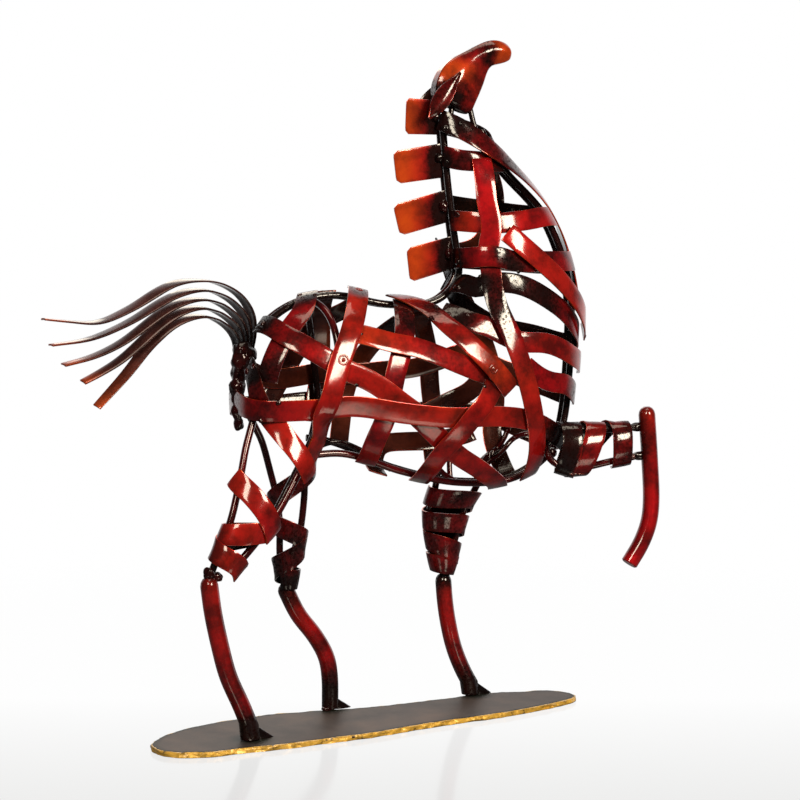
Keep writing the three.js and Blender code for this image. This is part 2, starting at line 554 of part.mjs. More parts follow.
// Folded sheet from poll to muzzle: [bridge x, z, half width], [jaw x, z, half width], cheek.
const HEAD = [
  [[19, 353, 5], [45, 345, 4], 8],
  [[20, 361, 5], [48, 352, 4], 8.5],
  [[25, 370, 5], [51, 361, 3.5], 8.5],
  [[39, 378, 4.5], [52.5, 367.5, 3], 7],
  [[51, 385, 4], [55, 371, 3], 6],
  [[58, 386.5, 3.5], [62, 373, 3], 6.5],
  [[65, 384, 2.5], [66.5, 375, 2.5], 5],
  [[68, 381, 1.5], [68.5, 377.5, 1.5], 2.5],
];
const headRings = HEAD.map(([bridge, jaw, cheek]) => {
  const [bx, bz, bw] = bridge;
  const [jx, jz, jw] = jaw;
  const side = (x, z, w, sign) => vec(x, sign * w, z);
  const mx = THREE.MathUtils.lerp(bx, jx, 0.45);
  const mz = THREE.MathUtils.lerp(bz, jz, 0.45);
  return [side(bx, bz, bw, 1), side(bx, bz, bw, -1), side(mx, mz, cheek, -1),
    side(jx, jz, jw, -1), side(jx, jz, jw, 1), side(mx, mz, cheek, 1)];
});
add('head', solidThrough(headRings), RED);

// A leaf cut from sheet, laid back along the cheek from its root near the brow to its tip.
function ear(side) {
  const length = 32;
  const belly = 8.8;              // pull of the curve, about twice the half width
  const leaf = new THREE.Shape();
  leaf.moveTo(0, 0);
  leaf.quadraticCurveTo(length * 0.45, belly, length, 0.4);
  leaf.lineTo(length, -0.4);
  leaf.quadraticCurveTo(length * 0.45, -belly, 0, 0);
  const plate = new THREE.ExtrudeGeometry(leaf, { depth: 1, bevelEnabled: false, curveSegments: 6 });
  plate.applyMatrix4(new THREE.Matrix4().makeBasis(
    vec(-0.56, side * 0.16, -0.81), vec(-side * 0.81, 0, side * 0.56), vec(0, side, 0.1)));
  return plate.translate(33, side * 9, 365);
}
add('ear_right', ear(-1), DARK_RED);
add('ear_left', ear(1), DARK_RED);

// ---- Origin at the middle of the bounding box's underside ----------------

const box = new THREE.Box3().setFromObject(horse);
const middle = box.getCenter(vec(0, 0, 0));
horse.position.set(-middle.x, -middle.y, -box.min.z);
horse.updateMatrixWorld(true);

export default horse;
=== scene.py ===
"""Horse woven from flat iron strap: the finished surfaces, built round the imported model.

Laid out as an add-on and run as a script. The tables of places are millimetres in the maker's
setting-out frame: X to the chest, Y to the horse's left, Z up from the underside of the plate.
"""

import math

import bpy
import numpy as np
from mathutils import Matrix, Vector, noise


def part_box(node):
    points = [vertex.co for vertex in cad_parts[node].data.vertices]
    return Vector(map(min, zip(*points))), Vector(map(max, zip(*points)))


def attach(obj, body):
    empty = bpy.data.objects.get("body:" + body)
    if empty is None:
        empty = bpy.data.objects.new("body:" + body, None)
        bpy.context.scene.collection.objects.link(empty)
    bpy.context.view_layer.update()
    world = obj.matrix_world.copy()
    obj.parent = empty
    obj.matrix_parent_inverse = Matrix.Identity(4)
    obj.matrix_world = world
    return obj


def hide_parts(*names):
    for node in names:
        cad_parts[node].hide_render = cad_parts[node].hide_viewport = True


bl_info = {
    "name": "Strap Iron Horse",
    "version": (1, 0, 0),
    "blender": (4, 5, 0),
    "location": "View3D > Sidebar > Horse",
    "description": "Builds the lacquered straps, rods, plates and welds of a woven iron horse",
    "category": "Object",
}

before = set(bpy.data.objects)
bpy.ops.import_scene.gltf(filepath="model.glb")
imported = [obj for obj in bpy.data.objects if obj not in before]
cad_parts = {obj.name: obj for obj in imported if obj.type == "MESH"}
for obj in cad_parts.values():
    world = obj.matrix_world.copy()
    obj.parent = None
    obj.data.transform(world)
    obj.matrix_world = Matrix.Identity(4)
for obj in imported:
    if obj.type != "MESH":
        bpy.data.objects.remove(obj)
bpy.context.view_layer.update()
MM = 0.001
# The first mane tab's low corner in the setting-out frame gives the shift to the model's frame.
MANE_CORNER = (3.0, -4.0, 331.0)
SHIFT = np.array(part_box("mane_plate_1")[0]) / MM - np.array(MANE_CORNER)


def to_model(places):
    """Places in the setting-out frame as points of the model, in metres."""
    return (np.array(places) + SHIFT) * MM


def set_out(points):
    """The other way: points of the model as places in the setting-out frame."""
    return np.array(points) / MM - SHIFT


# ---- Colours and the one node helper ----------------------------------------

def linear(code):
    """An sRGB hex colour as linear RGB."""
    values = [int(code[i:i + 2], 16) / 255 for i in (0, 2, 4)]
    return tuple(v / 12.92 if v <= 0.04045 else ((v + 0.055) / 1.055) ** 2.4 for v in values)


def node(material, kind, inputs=None, **settings):
    """Adds a node, sets its properties, and fills its inputs or links them to other nodes."""
    made = material.node_tree.nodes.new(kind)
    for name, value in settings.items():
        setattr(made, name, value)
    for name, value in (inputs or {}).items():
        if isinstance(value, bpy.types.Node):
            value = next(socket for socket in value.outputs if socket.enabled)
        if isinstance(value, bpy.types.NodeSocket):
            material.node_tree.links.new(value, made.inputs[name])
        else:
            made.inputs[name].default_value = value
    return made


def blank(name):
    material = bpy.data.materials.new(name)
    material.use_nodes = True
    material.node_tree.nodes.clear()
    return material


def rgba(colour):
    return (*colour, 1.0)


def times(colour, factor):
    return tuple(min(1, c * factor) for c in colour)


def colour_ramp(made, *stops):
    """Sets a Color Ramp node's stops: (place, colour)."""
    elements = made.color_ramp.elements
    while len(elements) < len(stops):
        elements.new(0.5)
    for element, (place, value) in zip(elements, stops):
        element.position = place
        element.color = rgba(value)
    return made


# ---- Sizes and colours a user may change ------------------------------------

def length(title, description, millimetres):
    return bpy.props.FloatProperty(
        name=title, description=description, default=millimetres * MM, min=0.0,
        subtype="DISTANCE", unit="LENGTH")


def colour(title, description, code):
    return bpy.props.FloatVectorProperty(
        name=title, description=description, default=linear(code), size=3, min=0.0, max=1.0,
        subtype="COLOR")


class HorseSizes(bpy.types.PropertyGroup):
    strap_width: length("Strap width", "Width of the flat strap", 11.5)
    strap_thick: length("Strap thickness", "Thickness of the flat strap", 1.0)
    strap_step: length("Strap step", "Distance between rows of faces along a strap", 2.4)
    tail_width: length("Tail ribbon", "Width of a tail ribbon at its root", 8.0)
    rod: length("Rod", "Diameter of the frame rod", 4.0)
    wire: length("Thin rod", "Diameter of the small brace rods", 3.2)
    bar: length("Leg bar", "Diameter of the lower-leg bars", 9.6)
    edge: length("Edge round", "Rounding left on a sheared edge", 0.22)
    bead: length("Weld bead", "Radius of a usual weld bead", 2.6)


class HorseColours(bpy.types.PropertyGroup):
    red: colour("Red", "Candy red over bare iron where it is thin", "9a0c12")
    deep: colour("Deep red", "Candy red where it pools thick", "52070a")
    # Ember is also the light colour of the edge finish, where it paints a highlight line.
    ember: colour("Ember", "Orange undercoat showing at ends and edges", "c24c12")
    soot: colour("Soot", "Black sprayed over crossings and welds", "0c0807")
    # Inner-face colour: brown-red, darkened as painted shade for the shadow inside the cage.
    inner: colour("Inner face", "Brown-red of the straps' inner faces", "4a2018")
    rod: colour("Rod", "Near-black lacquer of the rods", "160c0b")
    tail: colour("Tail", "Smoke brown of the tail ribbons", "3f2422")
    plate: colour("Plate", "Sprayed grey-brown of the plate", "4a3f3b")
    flame_edge: colour("Flame-cut edge", "Bronze gold on the plate's ragged edge", "c79a3a")
    floor: colour("Floor", "Pale studio floor", "f2f2f1")


# ---- Setting out: smooth curves, forms and places on them -------------------

def smooth_through(points, steps, even=False):
    """Points of a smooth curve through the given ones, with steps to each stretch."""
    p = np.array(points, float)
    p = np.vstack([2 * p[0] - p[1], p, 2 * p[-1] - p[-2]])
    out = []
    for i in range(1, len(p) - 2):
        a, b, c, d = p[i - 1:i + 3]
        if even:
            leave, arrive = (c - a) / 2, (d - b) / 2
        else:
            gaps = [max(float(((q - r) ** 2).sum()) ** 0.25, 1e-6)
                    for q, r in ((b, a), (c, b), (d, c))]
            leave = ((b - a) / gaps[0] - (c - a) / (gaps[0] + gaps[1])
                     + (c - b) / gaps[1]) * gaps[1]
            arrive = ((c - b) / gaps[1] - (d - b) / (gaps[1] + gaps[2])
                      + (d - c) / gaps[2]) * gaps[1]
        w = np.arange(steps)[:, None] / steps
        out.append(b + leave * w + (3 * (c - b) - 2 * leave - arrive) * w ** 2
                   + (2 * (b - c) + leave + arrive) * w ** 3)
    out.append(p[-2][None, :])
    return np.vstack(out)


FINE = 60                 # samples between two ovals of a form
RUMP = 0.12               # nearer the rump's tip than this, outward is straight back


class Form:
    """A row of upright ovals that straps are laid over, as in the part's source.

    Each oval is (top x, top z, low x, low z, half width, side offset).
    """

    def __init__(self, ovals):
        self.top = smooth_through([(o[0], o[5], o[1]) for o in ovals], FINE)
        self.low = smooth_through([(o[2], o[5], o[3]) for o in ovals], FINE)
        halves = smooth_through([(o[4], i) for i, o in enumerate(ovals)], FINE, even=True)
        self.half = halves[:, 0]

    def at(self, u, turn):
        t = min(abs(u) * FINE, len(self.half) - 1.0)
        k = min(int(t), len(self.half) - 2)
        w = t - k
        angle = math.radians(turn + 180 if u < 0 else turn)
        top = self.top[k] * (1 - w) + self.top[k + 1] * w
        low = self.low[k] * (1 - w) + self.low[k + 1] * w
        half = self.half[k] * (1 - w) + self.half[k + 1] * w
        middle = (top + low) / 2
        return middle + (top - low) / 2 * math.cos(angle) + np.array((0, half * math.sin(angle), 0))

    def outward(self, u, turn):
        if abs(u) < RUMP:
            return np.array((-1.0, 0.0, 0.0))
        along = self.at(u + 0.05, turn) - self.at(u - 0.05, turn)
        around = self.at(u, turn + 1) - self.at(u, turn - 1)
        normal = np.cross(along, around)
        return normal / np.linalg.norm(normal) * (1 if u > 0 else -1)


BODY = Form([
    (-94, 183, -94, 183, 0, 0), (-92, 201, -92, 166, 15, 0), (-86, 220, -86, 154, 25, 0),
    (-66, 237, -66, 147, 31, 0), (-40, 243, -38, 148, 33, 0), (-8, 238, -2, 138, 34, 0),
    (20, 240, 36, 131, 33, 0), (32, 253, 72, 134, 31, 0), (31, 263, 98, 154, 29, 0),
    (29, 274, 107, 204, 27, 0), (27, 288, 106, 248, 24, 0), (25, 303, 91, 287, 20, 0),
    (23, 322, 62, 317, 15, 0), (21, 342, 47, 342, 9, 0)])
THIGH_RIGHT = Form([
    (-48, 182, -96, 186, 11, -15), (-55, 160, -99, 160, 9.5, -21),
    (-66, 140, -104, 138, 8, -25), (-77, 122, -109, 121, 7.5, -28),
    (-89, 107, -115, 106, 7, -29), (-105, 90, -121, 92, 6, -30)])
THIGH_LEFT = Form([
    (-38, 182, -90, 186, 12, 20), (-42, 160, -78, 159, 9, 23), (-45, 140, -72, 139, 9, 25),
    (-46, 124, -68, 123, 8.5, 25), (-48, 108, -67, 108, 8, 25), (-51, 92, -67, 93, 7, 25),
    (-54, 78, -65, 80, 6, 25)])
FOREARM_LEFT = Form([
    (62, 152, 26, 152, 8, 12), (59, 129, 26, 129, 9, 21), (53, 116, 24, 116, 8, 25),
    (49.5, 104, 25, 105, 7, 27), (47, 94, 27, 95, 7, 28), (45, 84, 29, 86, 6.5, 29),
    (42, 75, 32, 77, 6, 30)])
FOREARM_RIGHT = Form([
    (84, 168, 80, 143, 8, -26), (94, 168, 90, 139, 8, -29), (105, 168, 102, 140, 8, -31),
    (117, 168, 115, 143, 7, -34), (130, 169, 131, 146, 6, -37)])

STRAP_RIDE, STRAP_LAYER = 1.1, 1.9    # height of the first strap, and of each one over it
ROD_SINK, ROD_LAYER = 2.3, 4          # depth of the first rod inside the form, and of each more
SAMPLES = 10                          # samples between two places of a route
OVAL_TURN = 30                        # degrees that count as one oval when a route is smoothed


def strap_height(layer):
    return STRAP_RIDE + STRAP_LAYER * layer


def rod_height(layer):
    return -ROD_SINK - ROD_LAYER * layer


def on(form, height, places):
    """Marks (point, outward, roll) along a smooth route over a form: (u, turn, layer, roll)."""
    full = [(*p, 0, 0)[:4] for p in places]
    route = [(u, turn / OVAL_TURN, 0) for u, turn, _layer, _roll in full]
    levels = [(layer, roll / OVAL_TURN, i) for i, (_u, _turn, layer, roll) in enumerate(full)]
    if len(full) > 1:
        route = smooth_through(route, SAMPLES)
        levels = smooth_through(levels, SAMPLES, even=True)
    marks = []
    for (u, turn, _), (layer, roll, _) in zip(route, levels):
        out = form.outward(u, turn * OVAL_TURN)
        point = form.at(u, turn * OVAL_TURN) + out * height(layer)
        marks.append((point, out, roll * OVAL_TURN))
    return marks


def through(out, points):
    """Marks along a smooth curve through plain points, all facing one way."""
    return [(p, np.array(out, float), 0.0) for p in smooth_through(points, SAMPLES)]


class Run:
    """Even cross-frames along marks, in metres in the model's frame."""

    def __init__(self, marks, step):
        points, outs, rolls = (np.array(column) for column in zip(*marks))
        reach = np.concatenate([[0], np.cumsum(np.linalg.norm(np.diff(points, axis=0), axis=1))])
        keep = np.concatenate([[True], np.diff(reach) > 1e-6])
        points, outs, rolls, reach = points[keep], outs[keep], rolls[keep], reach[keep]
        self.count = max(2, round(reach[-1] * MM / step))
        at = np.linspace(0, reach[-1], self.count + 1)

        def evenly(values):
            return np.stack([np.interp(at, reach, column) for column in values.T], 1)

        self.points = to_model(evenly(points))
        # a short running mean takes the corners out of the marks
        for _ in range(2):
            self.points[1:-1] = (self.points[:-2] + 2 * self.points[1:-1] + self.points[2:]) / 4
        self.tangents = np.gradient(self.points, axis=0)
        self.tangents /= np.linalg.norm(self.tangents, axis=1, keepdims=True)
        outs = evenly(outs)
        outs -= (outs * self.tangents).sum(1, keepdims=True) * self.tangents
        outs /= np.linalg.norm(outs, axis=1, keepdims=True)
        roll = np.radians(np.interp(at, reach, rolls))[:, None]
        side = np.cross(self.tangents, outs)
        self.outs = outs * np.cos(roll) + side * np.sin(roll)
        self.across = np.cross(self.tangents, self.outs)
        self.share = np.linspace(0, 1, self.count + 1)


# ---- Making and finishing pieces --------------------------------------------

def alone():
    bpy.ops.object.select_all(action="DESELECT")


def only(piece):
    alone()
    piece.select_set(True)
    bpy.context.view_layer.objects.active = piece


def edit(action, **choices):
    """Runs one edit-mode operator on everything in the active piece."""
    bpy.ops.object.mode_set(mode="EDIT")
    bpy.ops.mesh.select_all(action="SELECT")
    action(**choices)
    bpy.ops.object.mode_set(mode="OBJECT")


def modify(piece, kind, **settings):
    only(piece)
    made = piece.modifiers.new(kind.title(), kind)
    for name, value in settings.items():
        setattr(made, name, value)
    bpy.ops.object.modifier_apply(modifier=made.name)


def points_of(piece):
    values = np.empty(len(piece.data.vertices) * 3)
    piece.data.vertices.foreach_get("co", values)
    return values.reshape(-1, 3)


def move_points(piece, points):
    piece.data.vertices.foreach_set("co", np.ascontiguousarray(points, float).ravel())
    piece.data.update()


def store(piece, name, values):
    """Keeps one number a point on the piece, for its material to read."""
    data = piece.data.attributes
    layer = data.get(name) or data.new(name, "FLOAT", "POINT")
    values = np.clip(values, 0, 1) * np.ones(len(piece.data.vertices))
    layer.data.foreach_set("value", values.astype(np.float32))


def tint(piece, soot, ember):
    store(piece, "soot", soot)
    store(piece, "ember", ember)


def noise_at(points, fineness, start=(0, 0, 0)):
    """Smooth noise of about -1 to 1 at each point."""
    return np.array([noise.noise(Vector(p) * fineness + Vector(start)) for p in points])


def leave_slots(piece, count):
    """Empty finish slots, so that a wall's thickness can mark its inner face and its rim."""
    while len(piece.data.materials) < count:
        piece.data.materials.append(None)


def finish_piece(piece, name, materials, angle=40.0):
    only(piece)
    piece.name = piece.data.name = name
    leave_slots(piece, len(materials))
    for i, material in enumerate(materials):
        piece.data.materials[i] = bpy.data.materials[material]
    bpy.ops.object.transform_apply(location=True, rotation=True, scale=True)
    bpy.ops.object.shade_smooth_by_angle(angle=math.radians(angle))
    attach(piece, "root")


def along_run(piece, run, block=4000):
    """How far along a run, 0 to 1, each point of a piece lies, worked out block by block."""
    points = points_of(piece)
    share = np.empty(len(points))
    for start in range(0, len(points), block):
        some = slice(start, start + block)
        gaps = ((points[some, None, :] - run.points[None, :, :]) ** 2).sum(2)
        share[some] = run.share[gaps.argmin(1)]
    return share


def weld_smoke(points):
    """Soot that the weld spots leave on what is near them."""
    value = np.zeros(len(points))
    for place, reach, strength in WELD_SMOKE:
        gap = ((points - to_model(place)) ** 2).sum(1)
        value += strength * np.exp(-gap / (reach * MM) ** 2)
    return value


def paint(piece, share, soot, glow):
    """Lays soot and ember along a piece from short lists of (share of its length, amount)."""
    points = points_of(piece)
    grain = noise_at(points, 70)
    tint(piece, np.interp(share, *zip(*soot)) + weld_smoke(points) + 0.12 * grain,
         np.interp(share, *zip(*glow)) + 0.05 * grain)


STRAP_COLUMNS = 4                     # faces across a strap
CROWN, WAVER = 0.14, 0.14             # millimetres that its edges curl in, and waver


def strap_mesh(run, width, thick, taper=((0, 1), (1, 1)), crown=CROWN):
    """A strap from one grid: laid along the run, given its thickness, its edges rounded."""
    alone()
    bpy.ops.mesh.primitive_grid_add(x_subdivisions=run.count, y_subdivisions=STRAP_COLUMNS, size=1)
    piece = bpy.context.object
    flat = points_of(piece)
    row = np.rint((flat[:, 0] + 0.5) * run.count).astype(int)
    side = flat[:, 1] * 2
    widths = width * np.interp(run.share[row], *zip(*taper))
    waver = noise_at(run.points[row], 45)
    lift = -crown * MM * side ** 2 + WAVER * MM * waver * side
    placed = (run.points[row] + run.across[row] * (side * widths / 2)[:, None]
              + run.outs[row] * lift[:, None])
    move_points(piece, placed)
    first = piece.data.polygons[0]
    if Vector(run.outs[0]).dot(first.normal) < 0:
        edit(bpy.ops.mesh.flip_normals)
    # the inner face takes the inner finish, darkened as painted shade
    leave_slots(piece, 3)
    # the rim takes the edge finish, painted brighter as a highlight line
    modify(piece, "SOLIDIFY", thickness=thick, offset=0.0, material_offset=1,
           material_offset_rim=2, use_even_offset=False)
    round_edges(piece, thick)
    return piece


def round_edges(piece, thick):
    """Rounds a sheet's edges; the rounding takes the piece's last finish, the edge finish with its
    painted highlight.
    """
    modify(piece, "BEVEL", width=min(bpy.context.scene.horse_sizes.edge, thick * 0.3), segments=2,
           limit_method="ANGLE", angle_limit=math.radians(60),
           material=len(piece.data.materials) - 1)


def ring_shell(corners, rings, radius=MM):
    """A closed shell of so many rings from one filled circle, to be placed by its points.

    Each extrusion adds its ring after the earlier ones, so the points stand ring by ring.
    """
    alone()
    bpy.ops.mesh.primitive_circle_add(vertices=corners, radius=radius, fill_type="NGON")
    bpy.ops.object.mode_set(mode="EDIT")
    bpy.ops.mesh.select_all(action="SELECT")
    for _ in range(rings - 1):
        bpy.ops.mesh.extrude_region_move(TRANSFORM_OT_translate={"value": (0, 0, MM)})
    bpy.ops.object.mode_set(mode="OBJECT")
    return bpy.context.object


# A bar's end, from its face to the full bar: (distance in, in diameters; share of the radius).
CHAMFER = [(0.0, .86), (.07, 1.0)]
DOME = [(-.46, .36), (-.36, .68), (-.2, .9), (0.0, 1.0)]


def rod_mesh(run, diameter, first=CHAMFER, corners=14):
    """A round bar swept along a run from one extruded ring."""
    rows = [(run.points[i], run.across[i], run.outs[i], 1.0) for i in range(run.count + 1)]
    for at_end, shape in ((False, first), (True, CHAMFER)):
        point, across, out, _size = rows[-1] if at_end else rows[0]
        ahead = run.tangents[-1] if at_end else -run.tangents[0]
        caps = [(point - ahead * inset * diameter, across, out, size) for inset, size in shape]
        rows = rows[:-1] + caps[::-1] if at_end else caps + rows[1:]
    piece = ring_shell(corners, len(rows), diameter / 2)
    ring = points_of(piece)[:corners, :2]
    spots = [point + (across * x + out * y) * size
             for point, across, out, size in rows for x, y in ring]
    move_points(piece, spots)
    edit(bpy.ops.mesh.normals_make_consistent, inside=False)
    return piece


def joined(pieces):
    alone()
    for piece in pieces:
        piece.select_set(True)
    bpy.context.view_layer.objects.active = pieces[0]
    if len(pieces) > 1:
        bpy.ops.object.join()
    return bpy.context.object


def joined_as(name, pieces):
    piece = joined(pieces)
    piece.name = piece.data.name = name
    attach(piece, "root")
    return piece


# ---- Where every piece lies -------------------------------------------------

# A place on a form is (ovals along it, degrees round it, layer, roll in degrees); a layer or roll
# of 0 is left out. Soot and ember along a piece are (share of its length, amount).
COLD = [(0, 0), (1, 0)]   # no ember showing

